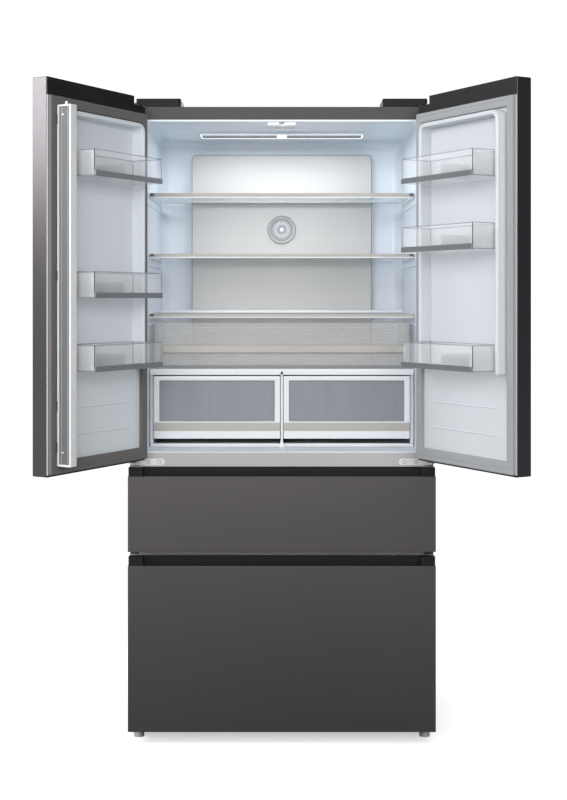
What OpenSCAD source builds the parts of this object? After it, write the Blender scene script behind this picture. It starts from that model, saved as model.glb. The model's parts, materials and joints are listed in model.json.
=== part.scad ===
// French door refrigerator: two swinging fridge doors over two freezer drawers.
// Millimetres, +Z up, the floor at z = 0, the doors facing -Y.
// It is drawn with both doors open and every drawer closed.

/* [Cabinet] */
// Overall width of the cabinet
cab_w = 833; // [815:1:850]
// Height of the cabinet top above the floor
cab_h = 1733; // [1733:1:1745]
// Depth from the drawer fronts to the wall spacers at the back
cab_d = 655; // [650:1:680]
// Thickness of the side walls, with their insulation
side_wall = 39; // [36:1:42]
// Gap between the door's outer face and the cabinet's face, with the seal between them
face_y = 57.5; // [57:0.5:58]

/* [Doors] */
// Angle of each open door away from closed
door_open = 119.4; // [90:0.1:122]
// Height of a fridge door
door_h = 980; // [970:1:985]
// Height of the door's lower edge above the floor
door_z = 769; // [767:1:771]
// Gap between the two closed doors
door_gap = 6; // [5:0.5:8]
// Thickness of a door without its seal
door_t = 45; // [44:0.5:46]
// Height of the black cap across the top of a door
cap_h = 44; // [40:1:48]

/* [Drawers] */
// Height of the lower drawer's flat front
low_front_h = 449; // [440:1:452]
// Height of the upper drawer's flat front
up_front_h = 204; // [198:1:206]
// Height of the finger recess above each front
grip_h = 24; // [22:0.5:25]

/* [Inside] */
// Height of the upper glass shelf
shelf_a_z = 1503.5; // [1480:0.5:1520]
// Height of the lower glass shelf
shelf_b_z = 1332.5; // [1310:0.5:1350]
// Height of the glass over the clear full-width drawer
cover_z = 1165.5; // [1160:0.5:1180]
// Thickness of the glass in the shelves
glass_t = 4; // [3:0.5:5]
// Front edge of shelves and drawers behind the door's outer face
inner_front = 150; // [149:1:154]
// Wall thickness of the clear bins and tubs
tub_wall = 2.5; // [2:0.5:3]

/* [Hidden] */
$fn = 48;

// Colours
steel_dark = [0.30, 0.29, 0.30];
black_plastic = [0.11, 0.10, 0.10];
white_plastic = [0.86, 0.88, 0.91];
seal_grey = [0.50, 0.50, 0.52];
clear_plastic = [0.80, 0.86, 0.90, 0.45];
bright_metal = [0.75, 0.76, 0.78];
foam_cream = [0.88, 0.84, 0.70];
copper = [0.72, 0.45, 0.30];

// Sheet and gap sizes
sheet = 2;             // steel sheet of the cabinet
skin = 1.2;            // steel sheet of the doors and drawers
liner_t = 3;           // moulded inner walls
slit = 0.5;            // gap left between neighbouring solids
half_w = cab_w / 2;
mouth_w = half_w - side_wall;          // outer half width of the inner walls
room_w = mouth_w - liner_t;            // clear half width inside
foot_h = 34;                           // height of the base above the floor

// Heights, from the floor up
low_front_z = foot_h;
low_front_top = low_front_z + low_front_h;
low_top = low_front_top + grip_h + 0.5;
up_front_z = low_top + 13.5;
up_front_top = up_front_z + up_front_h;
up_top = up_front_top + grip_h;
beam_z = 745;                          // middle beam between fridge and freezer
fridge_floor = 786;
fridge_roof = cab_h - 41;
freezer_floor = 80;
freezer_roof = 738;

// Depths, from the outer face of the doors back
back_y = cab_d - 3;                    // outside of the rear panel
fridge_back = 560;                     // clear inside of the rear wall
step_y = 395;                          // freezer rear wall below the step
step_z = 343;                          // top of the step over the machine room
machine_y = 440;                       // front of the machine room
machine_top = 300;

// Door hinge line, measured from the door's hinge end and from its outer face
pivot_u = 12.2;
pivot_v = 12.3;
door_w = (cab_w - door_gap) / 2;
door_top = door_z + door_h;
hinge_pin_d = 9;
hinge_bore_d = 9.2;

// Flip mullion, folded back along the left door
mull_u1 = 394;
mull_w = 26;
mull_v0 = 58;
mull_v1 = 102;
mull_z0 = 795;
mull_z1 = fridge_roof - 12;
mull_pin_u = 381;
mull_pin_v = 80;

// The origin is the middle of the open refrigerator's box, on the floor
open_tip_y = pivot_v - (mull_u1 - pivot_u) * sin(door_open)
    + (mull_v1 - pivot_v) * cos(door_open);
front_y = -(open_tip_y + cab_d) / 2;

// ---------- shared shapes ----------

// Cabinet parts are drawn with y = 0 at the outer face of the closed doors
module home() { translate([0, front_y, 0]) children(); }

// Block between two corners
module block(lo, hi) { translate(lo) cube(hi - lo); }

module rounded_rect(w, h, r) {
    translate([r, 0]) square([w - 2 * r, h]);
    translate([0, r]) square([w, h - 2 * r]);
    for (x = [r, w - r], y = [r, h - r]) translate([x, y]) circle(r);
}

// Block with rounded upright edges
module rounded_block(lo, hi, r) {
    translate(lo) linear_extrude(hi.z - lo.z) rounded_rect(hi.x - lo.x, hi.y - lo.y, r);
}

// Upright plate whose outline, seen from the front, has rounded corners
module face_plate(lo, hi, r) {
    translate([lo.x, hi.y, lo.z]) rotate([90, 0, 0])
        linear_extrude(hi.y - lo.y) rounded_rect(hi.x - lo.x, hi.z - lo.z, r);
}

// Open-topped tub
module tub(lo, hi, r, wall = tub_wall) {
    difference() {
        rounded_block(lo, hi, r);
        rounded_block(lo + [wall, wall, wall], hi + [-wall, -wall, 1], r - wall);
    }
}

module both_sides() {
    children();
    mirror([1, 0, 0]) children();
}

// Cylinder lying along X or Y
module rod_x(at, d, len) { translate(at) rotate([0, 90, 0]) cylinder(d = d, h = len); }
module rod_y(at, d, len) { translate(at) rotate([-90, 0, 0]) cylinder(d = d, h = len); }

// Door parts are drawn flat: x runs from the hinge end, y back from the outer face
module on_left_door() {
    home() translate([-(half_w - pivot_u), pivot_v, 0]) rotate([0, 0, -door_open])
        translate([-pivot_u, -pivot_v, 0]) children();
}
module on_right_door() { mirror([1, 0, 0]) on_left_door() children(); }

// ---------- cabinet ----------

module cabinet_shell() {
    flange_in = mouth_w + 14.5;        // side flange stops at the inner wall's lip
    top_strip = 35;
    color(steel_dark) home() {
        both_sides() {
            block([half_w - sheet, face_y, foot_h], [half_w, back_y - sheet, cab_h]);
            block([flange_in, face_y, foot_h], [half_w, face_y + sheet, cab_h]);
        }
        block([-half_w, face_y, cab_h - sheet], [half_w, back_y - sheet, cab_h]);
        block([-half_w, face_y, cab_h - top_strip], [half_w, face_y + sheet, cab_h]);
    }
}

module back_panel() {
    rib_w = 60;
    color([0.62, 0.63, 0.65]) home() {
        block([-half_w, back_y - sheet, machine_top], [half_w, back_y, cab_h]);
        for (z = [machine_top + 80 : 260 : cab_h - 120])
            both_sides() block([150, back_y - slit, z], [150 + rib_w, cab_d, z + 12]);
    }
}

// Slabs of insulation between the steel shell and the inner walls
module insulation_panels() {
    out_x = half_w - sheet;
    in_x = mouth_w + slit;
    y0 = face_y + sheet + slit;
    y1 = back_y - sheet - slit;
    color(foam_cream) home() {
        both_sides() block([in_x, y0, foot_h + 28], [out_x - slit, y1, cab_h - sheet - slit]);
        block([-mouth_w, y0, fridge_roof + liner_t + slit], [mouth_w, y1, cab_h - sheet - slit]);
        block([-mouth_w, fridge_back + liner_t + slit, step_z - liner_t + slit],
              [mouth_w, y1, fridge_roof + liner_t]);
        block([-mouth_w, y0 + 17, freezer_roof + liner_t + slit],
              [mouth_w, fridge_back + liner_t, fridge_floor - liner_t - slit]);
        block([-mouth_w, y0, foot_h + 28], [mouth_w, step_y + liner_t, freezer_floor - liner_t - slit]);
        block([-mouth_w, step_y + liner_t + slit, foot_h + 28],
              [mouth_w, machine_y - slit, step_z - liner_t - slit]);
        block([-mouth_w, machine_y, machine_top + 1], [mouth_w, y1, step_z - liner_t - slit]);
    }
}

// Moulded inner wall of the fridge, with its lip and the ledges that carry the shelves
module fridge_liner() {
    corner_r = 30;
    lip_out = mouth_w + 14;
    roof_lip = 5.5;
    mouth_d = 60;                      // depth of the square-cornered mouth
    ledge_w = 7;
    ledge_h = 12;
    ledge_back = 500;
    color(white_plastic) home() {
        difference() {
            union() {
                rounded_block([-mouth_w, face_y + 0.2, fridge_floor - liner_t],
                    [mouth_w, fridge_back + liner_t, fridge_roof + liner_t], corner_r + liner_t);
                block([-mouth_w, face_y, fridge_floor - liner_t],
                    [mouth_w, face_y + mouth_d, fridge_roof + liner_t]);
                block([-lip_out, face_y, fridge_floor - liner_t],
                    [lip_out, face_y + sheet, fridge_roof + roof_lip]);
            }
            rounded_block([-room_w, face_y + 0.2, fridge_floor],
                [room_w, fridge_back, fridge_roof], corner_r);
            block([-room_w, face_y - 1, fridge_floor], [room_w, face_y + mouth_d, fridge_roof]);
        }
        for (z = [shelf_a_z, shelf_b_z, cover_z])
            both_sides() block([room_w - ledge_w, inner_front + 20, z - glass_t - ledge_h],
                [room_w + 1, ledge_back, z - glass_t - slit]);
    }
}

// Moulded inner wall of the freezer, stepped over the machine room
module freezer_liner() {
    y0 = face_y + sheet + slit;
    outline = [[y0, freezer_floor], [step_y, freezer_floor], [step_y, step_z],
        [fridge_back, step_z], [fridge_back, freezer_roof], [y0, freezer_roof]];
    shell = [[y0, freezer_floor - liner_t], [step_y + liner_t, freezer_floor - liner_t],
        [step_y + liner_t, step_z - liner_t], [fridge_back + liner_t, step_z - liner_t],
        [fridge_back + liner_t, freezer_roof + liner_t], [y0, freezer_roof + liner_t]];
    color(white_plastic) home() difference() {
        translate([-mouth_w, 0, 0]) rotate([90, 0, 90]) linear_extrude(2 * mouth_w) polygon(shell);
        translate([-room_w, 0, 0]) rotate([90, 0, 90]) linear_extrude(2 * room_w) polygon(outline);
        block([-room_w, y0 - 1, freezer_floor], [room_w, y0 + 1, freezer_roof]);
    }
}

module middle_beam() {
    end_x = mouth_w + 14;
    color([0.68, 0.68, 0.68]) home() {
        block([-end_x, face_y, beam_z], [end_x, face_y + sheet, fridge_floor - liner_t - 0.1]);
        block([-mouth_w, face_y, beam_z], [mouth_w, face_y + 16, beam_z + 36]);
    }
}

module drawer_crossbeam() {
    mid_z = (low_top + up_front_z) / 2;
    color([0.55, 0.55, 0.56]) home() {
        block([-room_w + slit, face_y, mid_z - 20], [room_w - slit, face_y + 22, mid_z + 20]);
        block([-mouth_w - 13, face_y, mid_z - 20], [mouth_w + 13, face_y + sheet, mid_z + 20]);
    }
}

// ---------- base and cooling ----------

foot_x = 394;
foot_y = 76;
roller_x = 330;
roller_y = 600;
roller_d = 44;
roller_w = 22;
base_top = foot_h + 27.5;

module base_frame() {
    plate_t = 3;
    boss_d = 30;
    side_x = half_w - 62;
    front = face_y + 3;
    edge = half_w - sheet - slit;
    slot_x = roller_w / 2 + 1;
    color([0.35, 0.35, 0.36]) home() difference() {
        union() {
            block([-edge, front, foot_h], [edge, back_y - 3, foot_h + plate_t]);
            block([-side_x, front, foot_h], [side_x, front + plate_t, base_top]);
            both_sides() {
                block([side_x, front, foot_h], [side_x + 2, machine_y, base_top]);
                translate([foot_x, foot_y, foot_h]) cylinder(d = boss_d, h = base_top - foot_h);
                for (x = [roller_x - slot_x - 3, roller_x + slot_x])
                    block([x, roller_y - 16, roller_d / 2 - 8], [x + 3, roller_y + 16, foot_h + plate_t]);
            }
        }
        both_sides() {
            translate([foot_x, foot_y, foot_h - 1]) cylinder(d = 10.2, h = base_top);
            block([roller_x - slot_x, roller_y - 23, foot_h - 1],
                [roller_x + slot_x, roller_y + 23, foot_h + plate_t + 1]);
            rod_x([roller_x - 30, roller_y, roller_d / 2], 8.2, 60);
        }
    }
}

// Screw-in levelling foot: a ribbed pad under a wide collar, on a threaded stem
module foot(side) {
    pad_d = 29;
    groove_d = 26;
    collar_d = 34;
    stem_d = 10;
    rib_pitch = 4;
    collar_z = foot_h - 7;
    color(bright_metal) home() translate([side * foot_x, foot_y, 0]) {
        cylinder(d = groove_d, h = collar_z + 1);
        for (z = [0 : rib_pitch : collar_z - 3]) translate([0, 0, z]) cylinder(d = pad_d, h = rib_pitch / 2);
        translate([0, 0, collar_z]) cylinder(d = collar_d, h = foot_h - collar_z - 0.6);
        cylinder(d = stem_d, h = base_top);
    }
}
module front_foot_left() { foot(-1); }
module front_foot_right() { foot(1); }

// Wheel with its axle
module roller(side) {
    color(black_plastic) home() {
        rod_x([side * roller_x - roller_w / 2, roller_y, roller_d / 2], roller_d, roller_w);
        rod_x([side * roller_x - roller_w / 2 - 6, roller_y, roller_d / 2], 8, roller_w + 12);
    }
}
module rear_roller_left() { roller(-1); }
module rear_roller_right() { roller(1); }

module compressor() {
    at = [-230, 545, foot_h + 3.2];
    body_d = 160;
    body_h = 130;
    color([0.12, 0.12, 0.13]) home() translate(at) {
        translate([0, 0, 12]) rotate_extrude() polygon([[0, 0], [60, 0], [body_d / 2, 20],
            [body_d / 2, body_h - 30], [60, body_h - 6], [30, body_h], [0, body_h]]);
        for (a = [45 : 90 : 315]) rotate([0, 0, a]) block([40, -14, 0], [104, 14, 4]);
        for (a = [45 : 90 : 315]) rotate([0, 0, a]) translate([60, 0, 0]) cylinder(d = 24, h = 14);
        translate([body_d / 2 - 6, 0, 50]) rotate([0, 90, 0]) cylinder(d = 8, h = 26);
    }
}

// Tube folded into rows, with fins across it
module condenser_coil() {
    x0 = 60;
    x1 = 220;
    rows = 6;
    pitch = 28;
    tube = 6;
    z0 = 70;
    color(copper) home() for (y = [480, 520]) translate([0, y, z0]) {
        for (i = [0 : rows - 1]) rod_x([x0, 0, i * pitch], tube, x1 - x0);
        for (i = [0 : rows - 2]) {
            x = i % 2 == 0 ? x1 : x0;
            translate([x, 0, i * pitch]) cylinder(d = tube, h = pitch);
        }
        for (x = [x0 + 10 : 12 : x1 - 8]) block([x, -10, -8], [x + 1, 10, (rows - 1) * pitch + 8]);
    }
}

// Fan wheel: a hub and twisted-back blades about z
module fan_wheel(d, hub_d, depth, blades) {
    cylinder(d = hub_d, h = depth);
    for (i = [0 : blades - 1]) rotate([0, 0, i * 360 / blades])
        translate([hub_d / 2 - 3, 0, depth / 2]) rotate([35, 0, 0])
            block([0, -depth * 0.7, -0.8], [(d - hub_d) / 2, depth * 0.7, 0.8]);
}

fan_z = 150;
fan_y = 540;
module condenser_fan() {
    color([0.2, 0.2, 0.21]) home() translate([-60, fan_y, fan_z]) rotate([0, 90, 0])
        fan_wheel(130, 36, 22, 5);
}

module drain_pan() {
    color([0.75, 0.76, 0.74]) home() tub([-20, 455, foot_h + 3.5], [250, 630, foot_h + 22], 12);
}

module machine_cover() {
    slot_h = 8;
    color([0.25, 0.25, 0.26]) home() difference() {
        block([-half_w, back_y - sheet, foot_h + 8], [half_w, back_y, machine_top - 1]);
        for (x = [-330 : 110 : 130], z = [80 : 22 : 250])
            block([x, back_y - 5, z], [x + 90, back_y + 5, z + slot_h]);
        block([258, back_y - 5, 208], [302, back_y + 5, 242]);
    }
}

// Control electronics with the inlet for a mains lead
module control_box() {
    color([0.15, 0.15, 0.16]) home() {
        rounded_block([245, 590, 200], [375, back_y - 3, 290], 6);
        difference() {
            block([260, back_y - 4, 210], [300, cab_d - 0.5, 240]);
            block([266, back_y - 2, 215], [294, cab_d + 1, 235]);
        }
        for (x = [273, 280, 287]) block([x - 1, back_y - 4, 221], [x + 1, cab_d - 1.5, 229]);
    }
}

evap_y = 492;
module evaporator() {
    fin_pitch = 16;
    color(bright_metal) home() {
        for (x = [-250 : fin_pitch : 250]) block([x, evap_y, 370], [x + 1, evap_y + 56, 600]);
        for (z = [400 : 50 : 580], y = [evap_y + 14, evap_y + 42]) rod_x([-262, y, z], 8, 526);
        for (y = [evap_y + 14, evap_y + 42]) both_sides()
            block([256, y - 4, 400], [262, y + 4, 580]);
    }
}

evap_fan_z = 665;
module evaporator_cover() {
    cover_y = 480;
    color(white_plastic) home() difference() {
        block([-room_w + 3, cover_y, step_z + slit], [room_w - 3, cover_y + 3, freezer_roof - slit]);
        rod_y([0, cover_y - 1, evap_fan_z], 116, 8);
        for (x = [-300 : 75 : 240]) block([x, cover_y - 1, 360], [x + 55, cover_y + 5, 368]);
    }
}

module evaporator_fan() {
    color([0.2, 0.2, 0.21]) home() translate([0, 500, evap_fan_z]) rotate([-90, 0, 0])
        fan_wheel(104, 32, 20, 5);
}

// ---------- inside the fridge ----------

panel_w = 278;
panel_y = 513;
module duct_panel() {
    top_z = 1650;
    bottom_z = 805;
    color(bright_metal) home() difference() {
        face_plate([-panel_w, panel_y, bottom_z], [panel_w, fridge_back - slit, top_z], 36);
        face_plate([-panel_w + 3, panel_y + 3, bottom_z + 3], [panel_w - 3, fridge_back, top_z - 3], 33);
    }
}

cap_z = 1419;
module purifier_cap() {
    color([0.55, 0.57, 0.60]) home() {
        rod_y([0, panel_y - 5, cap_z], 86, 5);
        rod_y([0, panel_y - 8, cap_z], 70, 4);
    }
}

lamp_w = 240;
lamp_y0 = 235;
lamp_y1 = 381;
module ceiling_lamp() {
    color([0.97, 0.98, 1]) home() {
        rounded_block([-lamp_w, lamp_y0, fridge_roof - 8], [lamp_w, lamp_y1, fridge_roof - slit], 10);
        rounded_block([-38, lamp_y0 - 90, fridge_roof - 8], [38, lamp_y0 - 50, fridge_roof - slit], 6);
    }
}

// Slotted block that turns the mullion as the left door closes
module mullion_guide() {
    slot_w = 14;
    guide_y = face_y + 4;
    color([0.95, 0.95, 0.96]) home() difference() {
        rounded_block([-40, guide_y, fridge_roof - 9], [40, guide_y + 44, fridge_roof - slit], 5);
        block([-slot_w / 2, guide_y - 1, fridge_roof - 10], [slot_w / 2, guide_y + 18, fridge_roof]);
    }
}

module door_hinges() {
    arm_w = 20;
    arm_t = 4;
    px = -(half_w - pivot_u);
    top_arm_z = cab_h;
    low_arm_z = door_z - 11;
    color(bright_metal) home() both_sides() {
        // top arm with its pin
        block([px - arm_w / 2, pivot_v, top_arm_z], [px + arm_w / 2, face_y + 70, top_arm_z + arm_t]);
        block([px - arm_w / 2, face_y + 6, top_arm_z], [px + 62, face_y + 70, top_arm_z + arm_t]);
        translate([px, pivot_v, top_arm_z]) cylinder(d = arm_w, h = arm_t);
        translate([px, pivot_v, door_top - cap_h + 8]) cylinder(d = hinge_pin_d, h = cap_h - 18);
        // middle plate with its pin
        block([px - arm_w / 2, pivot_v, low_arm_z], [px + arm_w / 2, face_y, low_arm_z + arm_t]);
        block([px - 10, face_y - 2, low_arm_z - 9], [-330, face_y, low_arm_z + 9]);
        translate([-330, face_y - 2, low_arm_z]) rotate([-90, 0, 0]) cylinder(r = 9, h = 2);
        translate([px, pivot_v, low_arm_z]) cylinder(d = arm_w, h = arm_t);
        translate([px, pivot_v, low_arm_z]) cylinder(d = hinge_pin_d, h = 27);
        for (x = [-336, -368]) rod_y([x, face_y - 4.2, low_arm_z], 9, 3);
    }
}

module hinge_covers() {
    wall = 2;
    x0 = -400.5;
    x1 = -278;
    y0 = face_y + 2;
    y1 = face_y + 130;
    top_z = cab_h + 23;
    color(black_plastic) home() both_sides() difference() {
        rounded_block([x0, y0, cab_h + slit], [x1, y1, top_z], 8);
        block([x0 + wall, y0 + wall, cab_h], [x1 - wall, y1 - wall, top_z - wall]);
        block([x0 - 1, y0 - 1, cab_h], [x0 + 22, y0 + 4, cab_h + 5]);
        block([x0 - 1, y0 - 1, cab_h], [x0 + 4, y0 + 72, cab_h + 5]);
    }
}

// Glass shelf on a slim tray
module shelf(z, x, y0, y1, lip_h) {
    color(clear_plastic) home() {
        block([-x, y0, z - glass_t], [x, y1, z]);
        block([-x, y0, z - lip_h], [x, y0 + 6, z]);
        block([-x, y1 - 6, z - glass_t], [x, y1, z + 6]);
    }
}
shelf_w = room_w - 2;
module upper_shelf() { shelf(shelf_a_z, shelf_w, inner_front, 506, 14); }
module lower_shelf() { shelf(shelf_b_z, shelf_w, inner_front, 506, 12); }
fresh_z0 = 1016;
fresh_z1 = 1138;
module cover_shelf() { shelf(cover_z, shelf_w, inner_front, 506, 24); }

crisper_z0 = 811;
crisper_z1 = 988;
crisper_in = 4.5;
crisper_out = 361;
module crisper_frame() {
    deck_z = 1008;
    y0 = inner_front + 3;
    y1 = 505;
    color(white_plastic) home() {
        block([-shelf_w, y0, deck_z - 8], [shelf_w, y1, deck_z]);
        block([-shelf_w, y0, deck_z - 17], [shelf_w, y0 + 5, deck_z]);
        block([-3, y0, fridge_floor + slit], [3, y1, deck_z - 4]);
        block([-10, y0, fridge_floor + slit], [10, y0 + 12, fridge_floor + 18]);
        block([-shelf_w, y0 + 14, fridge_floor + slit], [shelf_w, y1, fridge_floor + 11]);
        both_sides() block([crisper_out + 2, y0 + 14, fridge_floor + slit], [shelf_w, y1, deck_z - 4]);
    }
}

rail_z = [590, 330];
module drawer_rails() {
    color(bright_metal) home() for (z = rail_z) both_sides() difference() {
        block([352, face_y + 25, z], [room_w - 0.3, z > 400 ? 470 : 385, z + 40]);
        block([350, face_y + 20, z + 5], [room_w - 5, 480, z + 35]);
    }
}

// ---------- doors, drawn flat and then swung open ----------

door_plate_z0 = door_z + 4;            // lower edge of the inner face
door_plate_z1 = door_top - cap_h;      // upper edge of the inner face
seal_in_w = 24;                        // seal's width along the sides, the bottom and the top
seal_low_w = 32;
seal_top_w = 26;
low_cap_h = 20;
notch_u = 50;
notch_h = 22;

// Steel outer face with its bent ends
module door_skin() {
    block([0, 0, door_z + 1], [door_w, skin, door_top - notch_h]);
    block([notch_u / 2, 0, door_z + 1], [door_w, skin, door_top - 1]);
    block([door_w - skin, 0, door_z + 1], [door_w, door_t - 2, door_top - 1]);
    block([0, 0, door_z + 1], [skin, door_t - 2, door_top - notch_h]);
}

// Black end caps, with the hinge bores and the notch for the top hinge
module door_caps() {
    in = skin + 0.1;
    z_notch = door_top - notch_h;
    difference() {
        union() {
            block([in, in, door_plate_z1], [door_w - in, door_t, door_top]);
            block([in, in, door_z], [door_w - in, door_t - 3, door_z + low_cap_h]);
            block([in, in, door_z], [door_w - in, door_t, door_z + 4]);
        }
        block([-1, -1, z_notch], [notch_u, door_t + 1, door_top + 1]);
        for (z = [door_z - 1, z_notch - 18]) translate([pivot_u, pivot_v, z])
            cylinder(d = hinge_bore_d, h = 19);
    }
}

module door_foam() {
    in = skin + slit;
    block([in, in, door_z + low_cap_h + slit],
        [door_w - in, door_t - 3 - slit, door_plate_z1 - slit]);
}

ridge_z0 = 1020;
ridge_v = 79;
ridge_w = 13;
hinge_ridge_u = 45;

// White inner face with the raised ridge that holds the bins
module door_liner(free_u) {
    ridge_top = door_plate_z1 - 33;
    ridge_r = 26;                      // outer corners of the ridge
    rib_out = 1.5;
    rib_h = 5;
    edge_gap = 0.2;
    block([skin + slit, door_t - liner_t, door_plate_z0 + edge_gap],
        [door_w - skin - slit, door_t, door_plate_z1 - edge_gap]);
    difference() {
        face_plate([hinge_ridge_u, door_t - 1, ridge_z0 - 40], [free_u, ridge_v, ridge_top], ridge_r);
        face_plate([hinge_ridge_u + ridge_w, door_t, ridge_z0 - 90],
            [free_u - ridge_w, ridge_v + 1, ridge_top - ridge_w - 3], ridge_r - 10);
        block([hinge_ridge_u - 1, door_t, ridge_z0 - 120], [free_u + 1, ridge_v + 1, ridge_z0]);
    }
    for (z = [862, 930]) block([70, door_t - 1, z], [340, door_t + rib_out, z + rib_h]);
}

// Magnetic seal around the inner face
module door_seal() {
    lo = [4, door_t + 0.1, door_plate_z0 + slit];
    hi = [door_w - 2, face_y - 1, door_plate_z1 - slit];
    difference() {
        block(lo, hi);
        block(lo + [seal_in_w, -1, seal_low_w], hi + [-seal_in_w, 1, -seal_top_w]);
    }
}

bin_v0 = door_t + 2.5;
bin_v1 = 145;
bin_u0 = 61;
bin_h = 66;
trim_h = 14;

module door_bins(bottoms, u1) {
    for (z = bottoms) tub([bin_u0, bin_v0, z], [u1, bin_v1 - 2.2, z + bin_h], 12);
}

module bin_trims(bottoms, u1) {
    for (z = bottoms) difference() {
        block([bin_u0, bin_v1 - 2, z], [u1, bin_v1, z + trim_h]);
        block([bin_u0 + 4, bin_v1 - 3, z + 2], [u1 - 4, bin_v1 - 1.2, z + trim_h - 2]);
    }
}

left_bins_z = [1507, 1207, 1026];
right_bins_z = [1507, 1327, 1026];
left_ridge_u = 366;
right_ridge_u = 382;

module left_door_skin() { color(steel_dark) on_left_door() door_skin(); }
module left_door_caps() { color(black_plastic) on_left_door() door_caps(); }
module left_door_foam() { color(foam_cream) on_left_door() door_foam(); }
module left_door_liner() { color(white_plastic) on_left_door() door_liner(left_ridge_u); }
module left_door_seal() { color(seal_grey) on_left_door() door_seal(); }
module left_door_bins() {
    color(clear_plastic) on_left_door() door_bins(left_bins_z, left_ridge_u - ridge_w - 2);
}
module left_bin_trims() {
    color(steel_dark) on_left_door() bin_trims(left_bins_z, left_ridge_u - ridge_w - 2);
}

module right_door_skin() { color(steel_dark) on_right_door() door_skin(); }
module right_door_caps() { color(black_plastic) on_right_door() door_caps(); }
module right_door_foam() { color(foam_cream) on_right_door() door_foam(); }
module right_door_liner() { color(white_plastic) on_right_door() door_liner(right_ridge_u); }
module right_door_seal() { color(seal_grey) on_right_door() door_seal(); }
module right_door_bins() {
    color(clear_plastic) on_right_door() door_bins(right_bins_z, right_ridge_u - ridge_w - 4);
}
module right_bin_trims() {
    color(steel_dark) on_right_door() bin_trims(right_bins_z, right_ridge_u - ridge_w - 4);
}

// Flap that bridges the gap behind the closed doors, folded back when open
module flip_mullion() {
    guide_pin_d = 8;
    guide_pin_h = 9;
    hinge_rod_d = 1.8;
    color([0.80, 0.82, 0.84]) on_left_door() {
        block([mull_u1 - mull_w, mull_v0, mull_z0], [mull_u1, mull_v1, mull_z1]);
        translate([mull_pin_u, mull_pin_v, mull_z1 - 1]) cylinder(d = guide_pin_d, h = guide_pin_h + 1);
        translate([mull_u1, mull_v0 - slit, mull_z0]) cylinder(d = hinge_rod_d, h = mull_z1 - mull_z0);
    }
}

// ---------- drawers ----------

// Clear full-width drawer under the lowest shelf
module fresh_drawer() {
    color(clear_plastic) home() tub([-crisper_out, inner_front + 2, fresh_z0],
        [crisper_out, 500, fresh_z1], 10);
}

window_z0 = 860.5;
window_z1 = 975;
module crisper_tub() {
    tub([crisper_in, inner_front + 15.5, crisper_z0], [crisper_out, 500, crisper_z1], 8);
}
module crisper_front() {
    side_w = 16;
    window_r = 3;
    strip_z = [22, 45];                // recess for the handle strip, above the lower edge
    strip_d = 2;
    y0 = inner_front + 1;
    y1 = inner_front + 15;
    difference() {
        block([crisper_in, y0, crisper_z0], [crisper_out, y1, crisper_z1]);
        face_plate([crisper_in + side_w, y0 - 1, window_z0],
            [crisper_out - side_w, y1 + 1, window_z1], window_r);
        block([crisper_in - 1, y0 - 1, crisper_z0 + strip_z[0]],
            [crisper_out + 1, y0 + strip_d, crisper_z0 + strip_z[1]]);
    }
}
module right_crisper_tub() { color([0.55, 0.57, 0.60, 0.5]) home() crisper_tub(); }
module right_crisper_front() { color(white_plastic) home() crisper_front(); }
module left_crisper_tub() { mirror([1, 0, 0]) right_crisper_tub(); }
module left_crisper_front() { mirror([1, 0, 0]) right_crisper_front(); }

grip_back = 26;                        // recess depth of the finger grip
pocket = 18;                           // depth of the pocket behind the front's edge
grip_end = 40;

// Steel face of a freezer drawer, bent back along both sides
module drawer_front(z0, z1) {
    block([-half_w, 0, z0], [half_w, skin, z1]);
    both_sides() block([half_w - skin, 0, z0], [half_w, door_t - 2, z1]);
    block([-half_w, 0, z0], [half_w, door_t - 2, z0 + skin]);
}

// Insulated body behind the steel face, with its seal land
module drawer_core(z0, z1, top) {
    in = skin + 0.2;
    y_grip = grip_back + 3.2;
    block([-half_w + in, in, z0 + in], [half_w - in, door_t, z1 - pocket - 3.4]);
    block([-half_w + in, y_grip, z1 - pocket - 4], [half_w - in, door_t, top - 1]);
    difference() {
        block([-half_w + 4, door_t - 1, z0 + 5], [half_w - 4, face_y - 0.5, top - 3]);
        block([-half_w + 28, door_t, z0 + 29], [half_w - 28, face_y + 1, top - 27]);
    }
}

// Black grip channel let into the top of a drawer
module drawer_grip(z1, top) {
    in = skin + 0.2;
    wall = 3;
    difference() {
        union() {
            block([-half_w + in, in, z1 - pocket - wall], [half_w - in, grip_back + wall, z1 - 0.4]);
            block([-half_w + in, grip_back, z1 - pocket - wall], [half_w - in, grip_back + wall, top]);
            both_sides() block([half_w - grip_end, 4, z1 - 1], [half_w - in, grip_back + wall, top]);
        }
        block([-half_w + grip_end, in + wall, z1 - pocket], [half_w - grip_end, grip_back, top + 1]);
    }
}

// Basket with the runners that slide in the side rails
module drawer_basket(lo, hi, rail) {
    color([0.90, 0.92, 0.94, 0.8]) home() {
        tub(lo, hi, 20, 3);
        both_sides() {
            block([hi.x - 2, door_t, rail + 10], [364, hi.y - 10, rail + 30]);
            block([hi.x - 20, door_t, rail - 10], [hi.x + 2, lo.y + 1, rail + 50]);
        }
    }
}

module upper_drawer_front() { color(steel_dark) home() drawer_front(up_front_z, up_front_top); }
module upper_drawer_core() {
    color(white_plastic) home() drawer_core(up_front_z, up_front_top, up_top);
}
module upper_drawer_grip() { color(black_plastic) home() drawer_grip(up_front_top, up_top); }
module upper_drawer_basket() { drawer_basket([-336, face_y + 2, 548], [336, 466, 700], rail_z[0]); }
module lower_drawer_front() { color(steel_dark) home() drawer_front(low_front_z, low_front_top); }
module lower_drawer_core() {
    color(white_plastic) home() drawer_core(low_front_z, low_front_top, low_top);
}
module lower_drawer_grip() { color(black_plastic) home() drawer_grip(low_front_top, low_top); }
module lower_drawer_basket() { drawer_basket([-336, face_y + 2, 105], [336, 384, 440], rail_z[1]); }

// ---------- what is drawn ----------

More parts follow.
